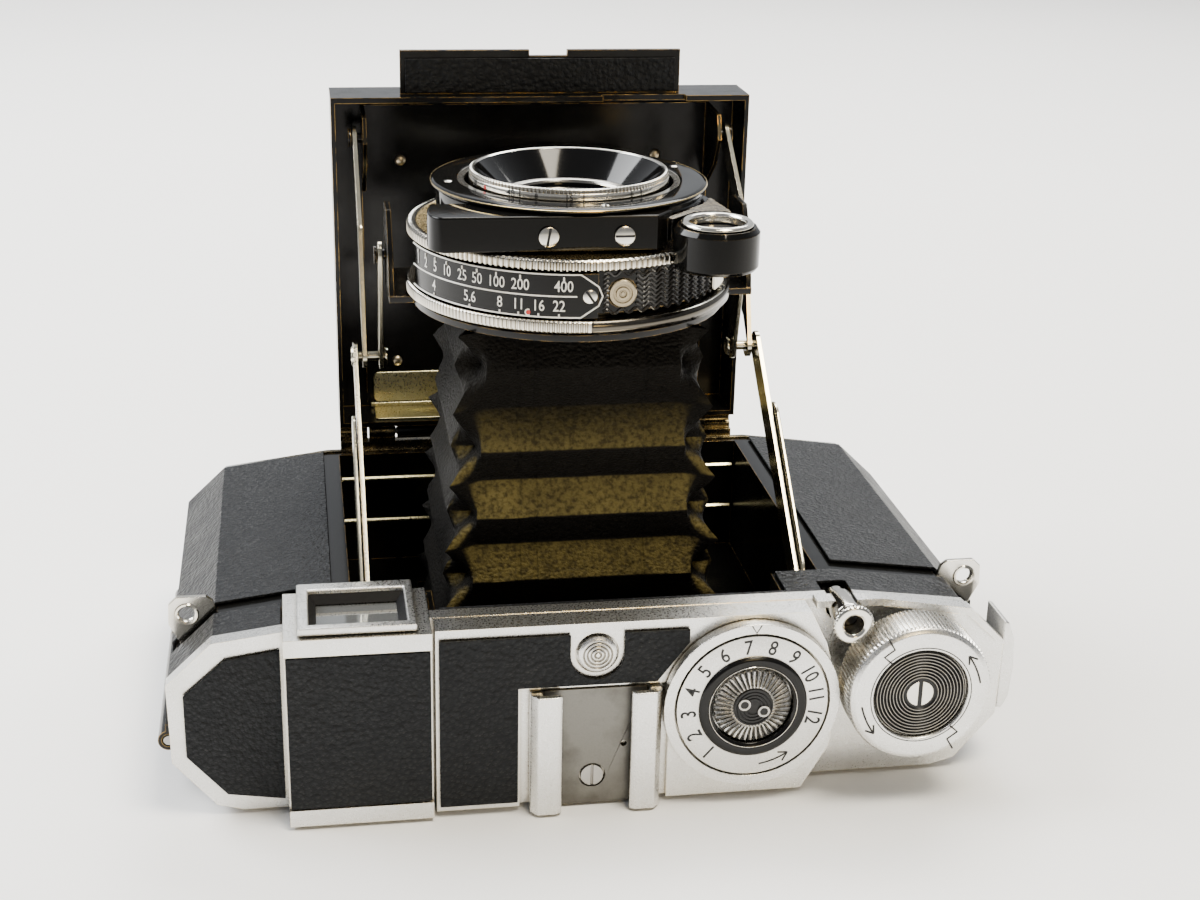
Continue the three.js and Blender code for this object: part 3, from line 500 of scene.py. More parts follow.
def round_path(axis, centre, radius, along, steps=72):
    """A closed circle of points about an axis."""
    return [placed(axis, centre, radius, FULL_TURN * i / steps, along) for i in range(steps + 1)]


def eased(profile, radius, steps=3):
    """Rounds each inner corner of an open profile."""
    out = [profile[0]]
    for before, here, after in zip(profile, profile[1:], profile[2:]):
        a, b, c = Vector(before), Vector(here), Vector(after)
        reach = min(radius, 0.45 * (a - b).length, 0.45 * (c - b).length)
        start, end = b + (a - b).normalized() * reach, b + (c - b).normalized() * reach
        for i in range(steps + 1):
            t = i / steps
            out.append(tuple(start * (1 - t) ** 2 + b * 2 * t * (1 - t) + end * t ** 2))
    out.append(profile[-1])
    return out


def turned(axis, centre, profile, segments=96, ripple=None, closed=False):
    """Vertices and faces of a profile of (radius, along) turned about an axis.
    ripple(segment, row) may add a small (radius, along) offset, for knurls and flutes."""
    vertices, faces = [], []
    rows = len(profile)
    for s in range(segments):
        angle = FULL_TURN * s / segments
        for row, (radius, along) in enumerate(profile):
            dr, da = ripple(s, row) if ripple else (0, 0)
            vertices.append(placed(axis, centre, max(0.0, radius + dr), angle, along + da))
    last = rows if closed else rows - 1
    for s in range(segments):
        nxt = (s + 1) % segments
        for row in range(last):
            up = (row + 1) % rows
            faces.append((s * rows + row, s * rows + up, nxt * rows + up, nxt * rows + row))
    return vertices, faces


def knurl(rows, depth, pattern=(0, 1, 1, 0)):
    """A ripple that cuts straight teeth of the given depth into some rows of a profile."""
    return lambda s, row: (-depth * pattern[s % len(pattern)], 0) if row in rows else (0, 0)


def lathe(name, body, materials, axis, centre, profile, segments=96, ripple=None, closed=False, bands=(),
          **more):
    """A turned piece. bands lists (first row, last row, material number)."""
    vertices, faces = turned(axis, centre, profile, segments, ripple, closed)
    per_turn = len(profile) if closed else len(profile) - 1
    kinds = []
    for index in range(len(faces)):
        row = index % per_turn
        kinds.append(next((kind for first, final, kind in bands if first <= row <= final), 0))
    return piece(name, vertices, faces, materials, body, kinds=kinds, **more)


def laid(axis, flat, along):
    """A flat point (a, b) at a depth: (x, y) for axis z, (x, z) for axis y, (y, z) for axis x."""
    a, b = flat
    return {"z": (a, b, along), "y": (a, along, b), "x": (along, a, b)}[axis]


def inset(outline, distance):
    """An outline moved inwards along its corners' bisectors."""
    area = sum(a[0] * b[1] - b[0] * a[1] for a, b in zip(outline, outline[1:] + outline[:1]))
    side = 1 if area > 0 else -1
    out = []
    count = len(outline)
    for i, here in enumerate(outline):
        a, b, c = Vector(outline[i - 1]), Vector(here), Vector(outline[(i + 1) % count])
        first, second = (b - a).normalized(), (c - b).normalized()
        n1, n2 = Vector((-first.y, first.x)) * side, Vector((-second.y, second.x)) * side
        middle = n1 + n2
        middle = middle / max(0.35, middle.length_squared / 2) if middle.length > 1e-6 else n1
        out.append(tuple(b + middle * distance))
    return out


def quad(per_row, row, a, b):
    """The face between two neighbouring rows of vertices, at places a and b along them."""
    low = row * per_row
    high = low + per_row
    return (low + a, low + b, high + b, high + a)


def joined(parts):
    """Several (vertices, faces) as one."""
    vertices, faces = [], []
    for more_vertices, more_faces in parts:
        faces += [tuple(len(vertices) + i for i in face) for face in more_faces]
        vertices += more_vertices
    return vertices, faces


def slab(axis, outline, near, far, ease):
    """Vertices and faces of a flat plate with chamfered rims."""
    sign = 1 if far > near else -1
    rim = inset(outline, ease)
    loops = [(rim, near), (outline, near + sign * ease), (outline, far - sign * ease), (rim, far)]
    count = len(outline)
    vertices = [laid(axis, p, along) for ring, along in loops for p in ring]
    faces = [tuple(range(count)), tuple(range(3 * count, 4 * count))]
    for row in range(3):
        faces += [quad(count, row, i, (i + 1) % count) for i in range(count)]
    return vertices, faces


def plates(name, body, material, slabs, **more):
    """Several slabs, each (axis, outline, near, far, ease), as one piece."""
    return piece(name, *joined(slab(*args) for args in slabs), [material], body, **more)


def oblong(a0, a1, b0, b1, radius=0.0):
    """A rectangle with rounded corners, as an outline."""
    if radius <= 0:
        return [(a0, b0), (a1, b0), (a1, b1), (a0, b1)]
    steps = 4
    out = []
    for ca, cb, turn in ((a1 - radius, b0 + radius, -90), (a1 - radius, b1 - radius, 0),
                         (a0 + radius, b1 - radius, 90), (a0 + radius, b0 + radius, 180)):
        for i in range(steps + 1):
            t = math.radians(turn + 90 * i / steps)
            out.append((ca + radius * math.cos(t), cb + radius * math.sin(t)))
    return out


def wire(path, radius):
    """Vertices and faces of a thin rod along a path of points."""
    points = [Vector(p) for p in path]
    vertices, faces = [], []
    side = None
    for i, here in enumerate(points):
        ahead = (points[min(i + 1, len(points) - 1)] - points[max(i - 1, 0)]).normalized()
        if side is None:
            side = ahead.orthogonal().normalized()
        side = (side - ahead * side.dot(ahead)).normalized()
        other = ahead.cross(side)
        for k in range(ROD_SIDES):
            t = FULL_TURN * k / ROD_SIDES
            vertices.append(tuple(here + side * radius * math.cos(t) + other * radius * math.sin(t)))
    for row in range(len(points) - 1):
        faces += [quad(ROD_SIDES, row, k, (k + 1) % ROD_SIDES) for k in range(ROD_SIDES)]
    for end in (0, (len(points) - 1) * ROD_SIDES):
        faces.append(tuple(range(end, end + ROD_SIDES)))
    return vertices, faces


def wires(name, body, material, paths, radius, **more):
    """Several thin rods as one piece."""
    return piece(name, *joined(wire(path, radius) for path in paths), [material], body, **more)


def glyphs(text, size, heavy):
    """Mesh data of a short figure, centred, in millimetres: x across, y up, z out of the face."""
    curve = settle(bpy.data.curves.new("figure", "FONT"), body=text, size=size, offset=heavy,
                   extrude=PAINT_THICKNESS / 2, align_x="CENTER", align_y="CENTER", resolution_u=3)
    holder = bpy.data.objects.new("figure", curve)
    mesh = bpy.data.meshes.new_from_object(holder)
    vertices = [tuple(v.co) for v in mesh.vertices]
    faces = [tuple(p.vertices) for p in mesh.polygons]
    bpy.data.objects.remove(holder)
    bpy.data.curves.remove(curve)
    bpy.data.meshes.remove(mesh)
    return vertices, faces


def figures(name, body, material, items, place, narrow, heavy):
    """Painted figures: items are (text, size, where), and place(where, across, up, out) gives each
    point. narrow squeezes them, and heavy thickens their strokes."""
    parts = []
    for text, size, where in items:
        flat, faces = glyphs(text, size, heavy)
        parts.append(([place(where, x * narrow, y, z) for x, y, z in flat], faces))
    return piece(name, *joined(parts), [material], body, sharp=60)


def soften(piece, width):
    """Welds, merges flat triangles and rounds the sharp edges, so that edges catch the light."""
    piece.data.polygons.foreach_set("use_smooth", [True] * len(piece.data.polygons))
    new = piece.modifiers.new
    settle(new("weld", "WELD"), merge_threshold=0.02 * MM)
    settle(new("flat", "DECIMATE"), decimate_type="DISSOLVE", angle_limit=math.radians(0.6))
    settle(new("edges", "BEVEL"), width=width * MM, segments=2, limit_method="ANGLE",
           angle_limit=math.radians(32), use_clamp_overlap=True, harden_normals=True)
    settle(new("normals", "WEIGHTED_NORMAL"), keep_sharp=True)


# How far the edges of the carried-over CAD nodes are rounded, in mm.
COMMON_EDGE = 0.12
EDGE = {
    "leather_strip_right": 0.1, "leather_strip_left": 0.1, "leather_top_left": 0.15,
    "leather_top_middle": 0.15, "leather_finder": 0.15, "top_cover": 0.45,
    "finder_front_frame": 0.35, "door_pan": 0.3, "body_shell": 0.3,
    "shoe_rail_left": 0.2, "shoe_rail_right": 0.2, "rangefinder_arm": 0.5, "wedge_housing": 0.4,
    "back_latch": 0.3,
}


def dress_nodes():
    """Every carried-over CAD node takes the finish of its slot, and softened edges."""
    for entry in frame["record"]["subparts"]:
        node = frame["nodes"][entry["node"]]
        look = NODE_LOOKS.get(entry["node"], SLOT_LOOKS[entry["material_slot"]])
        node.data.materials.clear()
        node.data.materials.append(look)
        soften(node, EDGE.get(entry["node"], COMMON_EDGE))


# ---- Knob, dial and buttons ----


def winding_knob():
    """The knurled knob, its grooved black disc, and the frame and arrow lines on its face."""
    face = KNOB_FACE
    profile = eased([
        (0, -47.5), (11.6, -47.5), (13.0, -48.2), (13.3, -48.6), (13.3, -55.1), (12.9, -55.8), (12.2, face),
        (8.95, face), (8.8, -56.0), (8.6, -55.45), (0, -55.45)], 0.15, 2)
    rim = [i for i, (r, along) in enumerate(profile) if r > 12.95 and -55.5 < along < -47.9]
    lathe("winding_knob_body", "winder", [SATIN], "y", KNOB, profile, 400, knurl(rim, 0.32),
          nodes=["winding_knob"], slot="chrome_cover")
    grooves = [(0, -55.5), (2.9, -55.5)]
    bands = []
    for i in range(9):
        r = 3.0 + 0.6 * i
        bands.append((len(grooves) + 1, len(grooves) + 1, 1))
        grooves += [(r, -55.6), (r + 0.24, -55.86), (r + 0.33, -55.86), (r + 0.57, -55.6)]
    grooves += [(8.45, -55.7), (8.5, -55.5)]
    lathe("winding_knob_disc", "winder", [BLACK, DARK_NICKEL], "y", KNOB, grooves, 96, bands=bands,
          slot="black_enamel")

    def on_face(points):
        return [placed("y", KNOB, r, angle, face) for r, angle in points]

    lines = []
    for turn in (0.0, math.pi):
        base = math.radians(-42) + turn
        lines.append(on_face([(8.95, base), (10.9, base - 0.02), (10.9, base + 0.19), (13.2, base + 0.19)]))
    for turn in (math.radians(68), math.radians(-112)):
        arc = [(10.9 + 0.5 * (i / 8 - 0.5) ** 2, turn + (0.22 - 0.55 * i / 8)) for i in range(9)]
        lines.append(on_face(arc))
        r, angle = arc[-1]
        for side in (0.9, -0.9):
            lines.append(on_face([(r, angle), (r + side, angle + 0.13)]))
    wires("winding_knob_marks", "winder", BLACK, lines, 0.18, slot="black_enamel")
    ring = round_path("y", KNOB, 9.35, face)
    wires("winding_knob_line", "winder", BLACK, [ring], 0.1, slot="black_enamel")


def counter_dial():
    """The counter's plate with its figures and arrow, the black collar on it, and the body's index."""
    face = DIAL_FACE
    profile = eased([
        (3.2, -47.0), (3.2, -49.6), (13.9, -49.6), (13.9, face), (10.0, face), (9.85, face - 0.15)], 0.12, 2)
    lathe("counter_plate", "counter", [SATIN], "y", DIAL, profile, 128, nodes=["counter_disc"],
          slot="chrome_cover")
    collar = eased([
        (10.0, face + 0.2), (9.9, face - 0.5), (9.3, face - 0.75), (8.2, face - 0.6), (7.5, face - 0.15),
        (7.4, -50.4)], 0.2, 3)
    lathe("counter_collar", "counter", [ENAMEL], "y", DIAL, collar, 96, slot="black_enamel")
    wires("counter_collar_line", "counter", SATIN, [round_path("y", DIAL, 8.1, face - 0.63)], 0.05)

    def place(where, x, y, out):
        angle, r = where
        across, rise = math.sin(angle), math.cos(angle)
        return (DIAL[0] + r * across + x * rise + y * across, face + 0.02 - out,
                DIAL[1] + r * rise - x * across + y * rise)

    items = [(str(n), 4.0, (math.radians(-139 + 22.1 * (n - 1)), 11.65)) for n in range(1, 13)]
    figures("counter_figures", "counter", BLACK, items, place, narrow=0.82, heavy=0.05)
    arrow = [[placed("y", DIAL, 12.1, math.radians(a), face) for a in range(172, 143, -3)]]
    tip = math.radians(145)
    for side in (1.0, -1.0):
        arrow.append([placed("y", DIAL, 12.1, tip, face), placed("y", DIAL, 12.1 + side, tip + 0.13, face)])
    wires("counter_arrow", "counter", BLACK, arrow, 0.14)
    notch = [placed("y", DIAL, r, math.radians(a), face) for r, a in ((16.0, -3.2), (14.5, 0), (16.0, 3.2))]
    wires("dial_index", "body", BLACK, [notch], 0.12)


def counter_star():
    """The fluted setting star on the counter, with its hub and the hub's two sockets."""
    flutes = [(0.0, -50.8), (7.1, -50.8), (7.15, -51.2), (6.9, -51.65), (3.95, -52.2), (3.75, -51.9),
              (0, -51.9)]

    def hollows(s, row):
        return (0, (0.0, 0.16, 0.34, 0.16)[s % 4]) if row in (3, 4) else (0, 0)

    lathe("counter_star_flutes", "counter_setting", [SATIN], "y", DIAL, flutes, 160, hollows,
          nodes=["counter_star"], slot="nickel")
    grooves = []
    for i in range(40):
        angle = FULL_TURN * (i + 0.5) / 40
        grooves.append([placed("y", DIAL, 4.1, angle, -52.1), placed("y", DIAL, 7.0, angle, -51.5)])
    wires("counter_star_grooves", "counter_setting", BLACK, grooves, 0.1, slot="black_enamel")
    hub = [(3.75, -51.85)]
    for i in range(4):
        r = 3.6 - 0.62 * i
        hub += [(r, -52.25), (r - 0.3, -52.25), (r - 0.38, -52.05), (r - 0.52, -52.05)]
    hub += [(0.7, -52.2), (0, -52.25)]
    lathe("counter_hub", "counter_setting", [BLACK], "y", DIAL, hub, 72, slot="black_enamel")
    for name, across, rise in (("left", -1.7, 0.7), ("right", 1.9, -0.8)):
        centre = (DIAL[0] + across, DIAL[1] + rise)
        # Painted shade: each socket's sunk centre is black, for the hole.
        lathe(f"counter_socket_{name}", "counter_setting", [STEEL, BLACK], "y", centre,
              [(1.1, -52.2), (1.1, -52.42), (0.75, -52.42), (0.7, -52.3), (0, -52.3)], 28, bands=[(3, 3, 1)])


def release_button():
    """The shutter release: a knurled button with a hollow top on a waisted stem."""
    profile = eased([
        (1.8, -48.1), (1.8, -52.0), (2.3, -52.35), (3.3, -52.3), (3.75, -51.9), (3.75, -51.2), (3.05, -50.9),
        (2.6, -50.5), (2.9, -50.2), (2.9, -49.6), (2.5, -49.3), (2.5, -48.9), (2.65, -48.6), (2.65, -42.2),
        (1.9, -42.0), (1.9, -39.4), (0, -39.4)], 0.12, 2)
    rows = [i for i, (r, along) in enumerate(profile) if r > 3.6]
    lathe("release_button_body", "release", [NICKEL], "y", RELEASE, profile + [(0, -48.1)], 120,
          knurl(rows, 0.14), closed=True, nodes=["release_button"], slot="nickel")
    # Painted shade: a black disc at the bottom of the button's hollow top.
    lathe("release_button_bore", "release", [BLACK], "y", RELEASE,
          [(0, -48.3), (1.75, -48.3), (1.75, -48.2), (0, -48.2)], 32)


def door_button():
    """The button that opens the door, with four turned rings on its face."""
    profile = [(1.7, -45.0), (1.7, -49.2), (3.4, -49.2), (3.5, -49.4), (3.45, -49.75), (3.2, -49.95)]
    for i in range(4):
        r = 3.0 - 0.66 * i
        profile += [(r, -50.05), (r - 0.28, -50.1), (r - 0.4, -49.9), (r - 0.5, -49.9)]
    profile += [(0.35, -50.1), (0, -50.1)]
    bands = [(8 + 4 * i, 9 + 4 * i, 1) for i in range(4)]
    lathe("door_button_cap", "door_catch", [SATIN, DARK_NICKEL], "y", DOOR_BUTTON, profile, 72, bands=bands,
          nodes=["door_button"], slot="chrome_cover")


def slotted_screw(name, body, material, axis, centre, face, radius, turn, out=-1):
    """A domed screw head whose slot is a dark sunk bar, painted shade in place of a cut slot."""
    head = [(radius, face - out * 0.35), (radius, face), (radius * 0.8, face + out * 0.12),
            (0, face + out * 0.16)]
    lathe(name, body, [material], axis, centre, head, 40)
    half, width = radius * 0.96, max(0.22, radius * 0.12)
    c, s = math.cos(turn), math.sin(turn)
    bar = oblong(-half, half, -width, width)
    outline = [(centre[0] + a * c - b * s, centre[1] + a * s + b * c) for a, b in bar]
    # Painted shade: a black bar stands for the dark slot.
    plates(f"{name}_slot", body, BLACK, [(axis, outline, face - out * 0.05, face + out * 0.18, 0.03)])


# ---- Lens and shutter ----


def on_drum(radius, arc, z):
    """A point on a cylinder about the lens axis; arc runs to the right from the front, in mm."""
    angle = arc / radius
    return (LENS[0] + radius * math.sin(angle), LENS[1] - radius * math.cos(angle), z)


def shutter_rings():
    """The speed ring's and the aperture ring's knurled rims, and the dark band beside the second."""
    coarse = eased([
        (22.2, 96.3), (28.9, 96.3), (28.95, 95.8), (29.6, 95.8), (30.0, 96.05), (30.0, 97.5), (29.6, 97.9),
        (28.4, 97.9), (28.2, 97.75), (22.2, 97.75)], 0.15, 2)
    rows = [i for i, (r, z) in enumerate(coarse) if r > 29.4]
    lathe("speed_ring_knurled", "speed_setting", [NICKEL, BRASS], "z", LENS, coarse, 4 * 176,
          knurl(rows, 0.5), closed=True, bands=[(rows[-1] + 3, len(coarse) - 2, 1)], nodes=["speed_ring"],
          slot="nickel")
    fine = eased([
        (27.4, 84.8), (29.9, 84.8), (30.3, 85.1), (30.3, 86.75), (29.9, 87.05), (27.4, 87.05)], 0.15, 2)
    rows = [i for i, (r, z) in enumerate(fine) if r > 29.8]
    count = 4 * 230
    front = count * 3 / 4  # the segment that faces -Y

    def teeth(s, row):
        cut = front - count / 2 + 24 < s < front - 2
        return (-0.3 * (0, 1, 1, 0)[s % 4], 0) if cut and row in rows else (0.0, 0)

    lathe("aperture_ring_knurled", "aperture_setting", [NICKEL], "z", LENS, fine, count, teeth, closed=True,
          nodes=["aperture_ring"], slot="nickel")
    band = [on_drum(30.42, arc / 4, z) for z in (84.8, 87.1) for arc in range(0, 4 * 62)]
    half = len(band) // 2
    faces = [(i, i + 1, half + i + 1, half + i) for i in range(half - 1)]
    smooth = piece("aperture_band", band, faces, [DARK_BAND], "aperture_setting")
    settle(smooth.modifiers.new("sheet", "SOLIDIFY"), thickness=0.3 * MM, offset=0.0)


def scale_plaque():
    """The shutter's scale plaque: white frame lines, figures and ticks, a red dot and a screw."""
    radius, low, high = PLAQUE_RADIUS, 87.6, 95.3
    left, right, tip, mid = -41.0, -1.9, 1.2, 91.4

    def across(z, end):
        return [on_drum(radius, left + (end - left) * i / 40, z) for i in range(41)]

    point = ((right, high), (tip, mid + 1.7), (tip + 0.7, mid), (tip, mid - 1.7), (right, low))
    lines = [across(high, right), across(low, right), [on_drum(radius, arc, z) for arc, z in point],
             across(mid, -2.6)]
    wires("plaque_lines", "lens_front", WHITE, lines, 0.15)

    def place(where, x, y, out):
        return on_drum(radius + out, where[0] + x, where[1] + y)

    speeds = [("1", -38.2), ("2", -34.9), ("5", -31.6), ("10", -28.2), ("25", -24.3), ("50", -21.0),
              ("100", -17.1), ("200", -12.6), ("400", -4.9)]
    stops = [("4", -32.0), ("5.6", -22.6), ("8", -16.4), ("11", -12.9), ("16", -9.3), ("22", -5.7)]
    items, marks = [], []
    for scale, figure_z, tick_z in ((speeds, 93.1, high - 0.75), (stops, 89.55, low + 0.3)):
        for text, arc in scale:
            items.append((text, 2.8, (arc, figure_z)))
            marks.append([on_drum(radius + 0.02, arc, tick_z + end) for end in (-0.3, 0.3)])
    figures("plaque_figures", "lens_front", WHITE, items, place, narrow=0.8, heavy=0.012)
    wires("plaque_ticks", "lens_front", WHITE, marks, 0.16)
    x, y, z = on_drum(radius, -11.1, 88.3)
    lathe("plaque_dot", "lens_front", [RED], "y", (x, z), [(0.4, y + 0.1), (0.4, y - 0.06), (0, y - 0.1)], 20)
    lathe("plaque_dot_rim", "lens_front", [WHITE], "y", (x, z),
          [(0.62, y + 0.1), (0.62, y - 0.02), (0.4, y - 0.03)], 20)
    x, y, z = on_drum(radius, -0.3, mid)
    slotted_screw("plaque_screw", "lens_front", NICKEL, "y", (x, z), y, 1.25, math.radians(-55))


def housing_relief():
    """Pressed wavy lines round the right side of the shutter housing, with its cable socket."""
    paths = []
    for k in range(9):
        z = 88.2 + 0.86 * k
        run = []
        for i in range(87):
            arc = 2.2 + 0.32 * i
            if 3.4 <= arc <= 8.2 and abs(z - 91.6) <= 2.9:  # the lines stop on both sides of the socket
                paths.append(run)
                run = []
            else:
                run.append(on_drum(28.62, arc, z + 0.42 * math.sin(FULL_TURN * 0.32 * i / 2.7)))
        paths.append(run)
    paths = [path for path in paths if len(path) > 2]
    wires("housing_relief", "lens_front", BLACKENED, paths, 0.26, slot="black_enamel")
    socket = [(2.45, -29.2), (2.5, -31.0), (2.3, -31.25), (1.75, -31.25), (1.65, -31.0), (1.25, -31.0),
              (1.15, -31.3), (0.75, -31.3), (0.65, -31.0), (0.35, -31.0), (0.3, -31.2), (0, -31.2)]
    lathe("housing_socket", "lens_front", [DULL_BRASS], "y", (4.8, 91.5), socket, 48, slot="nickel")
    arcs = [29.6 + 0.85 * i for i in range(8)]
    ridges = [[on_drum(29.1, arc, 88.0), on_drum(29.1, arc, 95.4)] for arc in arcs]
    wires("shutter_lever_ridges", "lens_front", NICKEL, ridges, 0.4, slot="nickel")


def arm_details():
    """The rangefinder arm's two screws, and the slanting ribs on its web."""
    for name, x, turn in (("left", -7.9, math.radians(80)), ("right", 5.4, 0)):
        face = -27.9 - 0.0168 * (x + 26) - 0.1
        slotted_screw(f"arm_screw_{name}", "lens_front", NICKEL, "y", (x, 101.1), face, 1.75, turn)
    web = [(13, -24), (16, -32), (27, -31), (24, -8), (12, -8)]
    sides = list(zip(web, web[1:] + web[:1]))

    def on_web(x, y):
        inside = all((b[0] - a[0]) * (y - a[1]) - (b[1] - a[1]) * (x - a[0]) > 0.4 for a, b in sides)
        return inside and math.dist((x, y), LENS) > 26 and math.dist((x, y), WEDGE) > 8

    ribs = []
    for k in range(-60, 80):
        line = [(x, x - 34 + 0.75 * k) for x in (12 + 0.25 * i for i in range(120))]
        run = [(x, y, 103.25) for x, y in line if on_web(x, y)]
        if len(run) > 2:
            ribs.append([run[0], run[-1]])
    wires("arm_ribs", "lens_front", DARK_BAND, ribs, 0.22, slot="black_enamel")


def bezel():
    """The black plate round the lens, with a worn brass edge and three screws."""
    profile = eased([
        (19.3, 104.85), (19.3, 105.55), (20.6, 105.55), (20.8, 105.75), (24.9, 105.75), (25.5, 105.5),
        (25.6, 105.15), (25.2, 104.85)], 0.2, 3)
    lathe("bezel_ring", "lens_front", [BEZEL, NICKEL], "z", LENS, profile, 128, closed=True,
          bands=[(0, 6, 1)], nodes=["bezel_plate"], slot="black_enamel")
    edge = round_path("z", LENS, 25.52, 105.42, 96)
    wires("bezel_edge", "lens_front", BRASS, [edge], 0.13, slot="nickel")
    for name, angle in (("left", 185), ("right", 20), ("front", 278)):
        t = math.radians(angle)
        centre = placed("z", LENS, 22.6, t, 0)[:2]
        slotted_screw(f"bezel_screw_{name}", "lens_front", NICKEL, "z", centre, 105.75, 0.75, t, out=1)


def focus_ring():
    """The front cell's knurled focusing rim, its black cone, and its figures, marks and red dot."""
    rim = eased([
        (18.5, 99.7), (18.5, 102.4), (17.5, 102.5), (17.5, 104.5), (18.5, 104.7), (18.5, 106.7),
        (18.35, 106.8), (18.35, 107.4), (18.1, 107.6), (17.6, 107.6), (17.35, 107.4), (12.3, 102.2),
        (11.5, 102.0), (11.5, 99.7)], 0.1, 2)
    rows = [i for i, (r, z) in enumerate(rim) if r > 17.9 and z > 106.75]
    inner = [i for i, (r, z) in enumerate(rim) if r < 17.3 and z > 101.95]
    lathe("focus_ring_knurled", "focusing", [NICKEL, CONE], "z", LENS, rim, 4 * 150, knurl(rows, 0.28),
          closed=True, bands=[(inner[0] - 1, inner[-1] + 1, 1)], nodes=["focus_ring"], slot="nickel")
    steps = eased([(11.45, 102.2), (12.4, 102.4), (12.2, 102.9), (11.2, 102.7), (10.9, 102.2)], 0.1, 2)
    lathe("lens_retaining_ring", "focusing", [DARK_NICKEL], "z", LENS, steps, 96, closed=True)

    def place(where, x, y, out):
        return on_drum(18.5 + out, where + x, 106.1 + y)

    items = [("24", 1.9, -24.2), ("48", 1.9, -13.6), ("8", 1.3, -8.5), ("15", 1.6, -2.6), ("6", 1.6, 9.4)]
    figures("focus_figures", "focusing", BLACK, items, place, narrow=0.95, heavy=0.02)
    marks = [[on_drum(18.52, arc, 105.2), on_drum(18.52, arc, 106.8)] for arc in (-11.7, 0.0, 11.6)]
    wires("focus_marks", "focusing", BLACK, marks, 0.1)
    dot = Vector(on_drum(18.5, -20.2, 106.0))
    out = Vector((dot.x - LENS[0], dot.y - LENS[1], 0)).normalized()
    sideways = out.cross(UP)
    ring = []
    for i in range(16):
        angle = FULL_TURN * i / 16
        ring.append(tuple(dot + out * 0.03 + (UP * math.cos(angle) + sideways * math.sin(angle)) * 0.4))
    faces = [(i, (i + 1) % 16, 16) for i in range(16)]
    piece("focus_dot", ring + [tuple(dot + out * 0.08)], faces, [RED], "focusing")


def front_glass():
    """A domed front lens in the place of the CAD one."""
    low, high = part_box("front_lens")
    top = high.z / MM
    radius = (high.x - low.x) / 2 / MM
    profile = []
    for angle in range(0, 91, 6):
        drop = 2.2 * (1 - math.cos(math.radians(angle * 0.9)))
        profile.append((radius * math.sin(math.radians(angle)), top - drop))
    profile += [(radius, low.z / MM + 0.1), (0, low.z / MM + 0.1)]
    lathe("front_lens_glass", "focusing", [GLASS], "z", LENS, profile, 96, sharp=50, nodes=["front_lens"],
          slot="clear_glass")


def wedge_parts():
    """The polished ring round the rangefinder's wedge glass."""
    ring = eased([
        (4.9, 102.2), (4.9, 103.4), (5.2, 103.8), (5.9, 103.88), (6.35, 103.5), (6.4, 103.2),
        (5.4, 103.2)], 0.15, 3)
    lathe("wedge_ring_polished", "wedge", [NICKEL], "z", WEDGE, ring, 72, closed=True, nodes=["wedge_ring"],
          slot="chrome_cover")


# ---- Bellows ----

# How high each crease stands, in mm; the first one and every second one after it point outwards.
CREASES = (12.1, 18.2, 24.2, 30.2, 36, 42.4, 48.2, 54.8, 60.7, 68.4, 76, 82.7)


def crease_loop(index):
    """One crease as 12 points: each corner folds in on an outward crease and stands out on an inward one."""
    z = CREASES[index]
    taper = 5 * (z - CREASES[0]) / (CREASES[-1] - CREASES[0])
    inward = index % 2
    half = 27.55 - taper - 2.6 * inward
    card = half - (2.8 if inward else 5.2)
    tip = half + 3.0 if inward else half - 4.6
    points = []
    for sx, sy in ((-1, -1), (1, -1), (1, 1), (-1, 1)):
        ends = [(sx * half, sy * card), (sx * card, sy * half)]
        if sx != sy:
            ends.reverse()
        points += [ends[0], (sx * tip, sy * tip), ends[1]]
    return [Vector((LENS[0] + x, LENS[1] + y, z)) for x, y in points]


def bellows_skin():
    """The folded leather, with softened creases and small wrinkles near its corners."""
    loops = [crease_loop(i) for i in range(len(CREASES))]
    steps = (0.0, 0.06, 0.2, 0.4, 0.6, 0.8, 0.94)
    places = [(k, c / count) for k in range(12) for count in ((6, 6, 16)[k % 3],) for c in range(count)]
    rows = []
    for lower, upper in zip(loops, loops[1:]):
        for t in steps:
            row = []
            for k, u in places:
                low = lower[k].lerp(lower[(k + 1) % 12], u)
                high = upper[k].lerp(upper[(k + 1) % 12], u)
                row.append(low.lerp(high, t))
            rows.append(row)
    rows.append([Vector((point.x, point.y, CREASES[-1])) for point in rows[-1]])
    vertices = []
    for point in (point for row in rows for point in row):
        out = Vector((point.x - LENS[0], point.y - LENS[1], 0))
        corner = min(abs(out.x), abs(out.y)) / max(abs(out.x), abs(out.y))
        wrinkle = 0.12 + 0.55 * max(0.0, corner - 0.45)
        depth = wrinkle * (noise.noise(point * 0.32) + 0.5 * noise.noise(point * 0.9)) - 0.35
        vertices.append(tuple(point + out.normalized() * depth))
    per_row = len(places)
    faces = [quad(per_row, row, k, (k + 1) % per_row) for row in range(len(rows) - 1) for k in range(per_row)]
    skin = piece("bellows_skin", vertices, faces, [BELLOWS], "body", sharp=48, nodes=["bellows"],
                 slot="bellows_leather")
    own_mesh(skin)


# ---- Door, body and finder details ----


def dome(name, body, material, axis, centre, face, radius, out=-1):
    """A small rivet head."""
    profile = [(radius * width, face + out * radius * rise)
               for width, rise in ((1, 0), (0.92, 0.25), (0.6, 0.5), (0, 0.6))]
    lathe(name, body, [material], axis, centre, profile, 24)


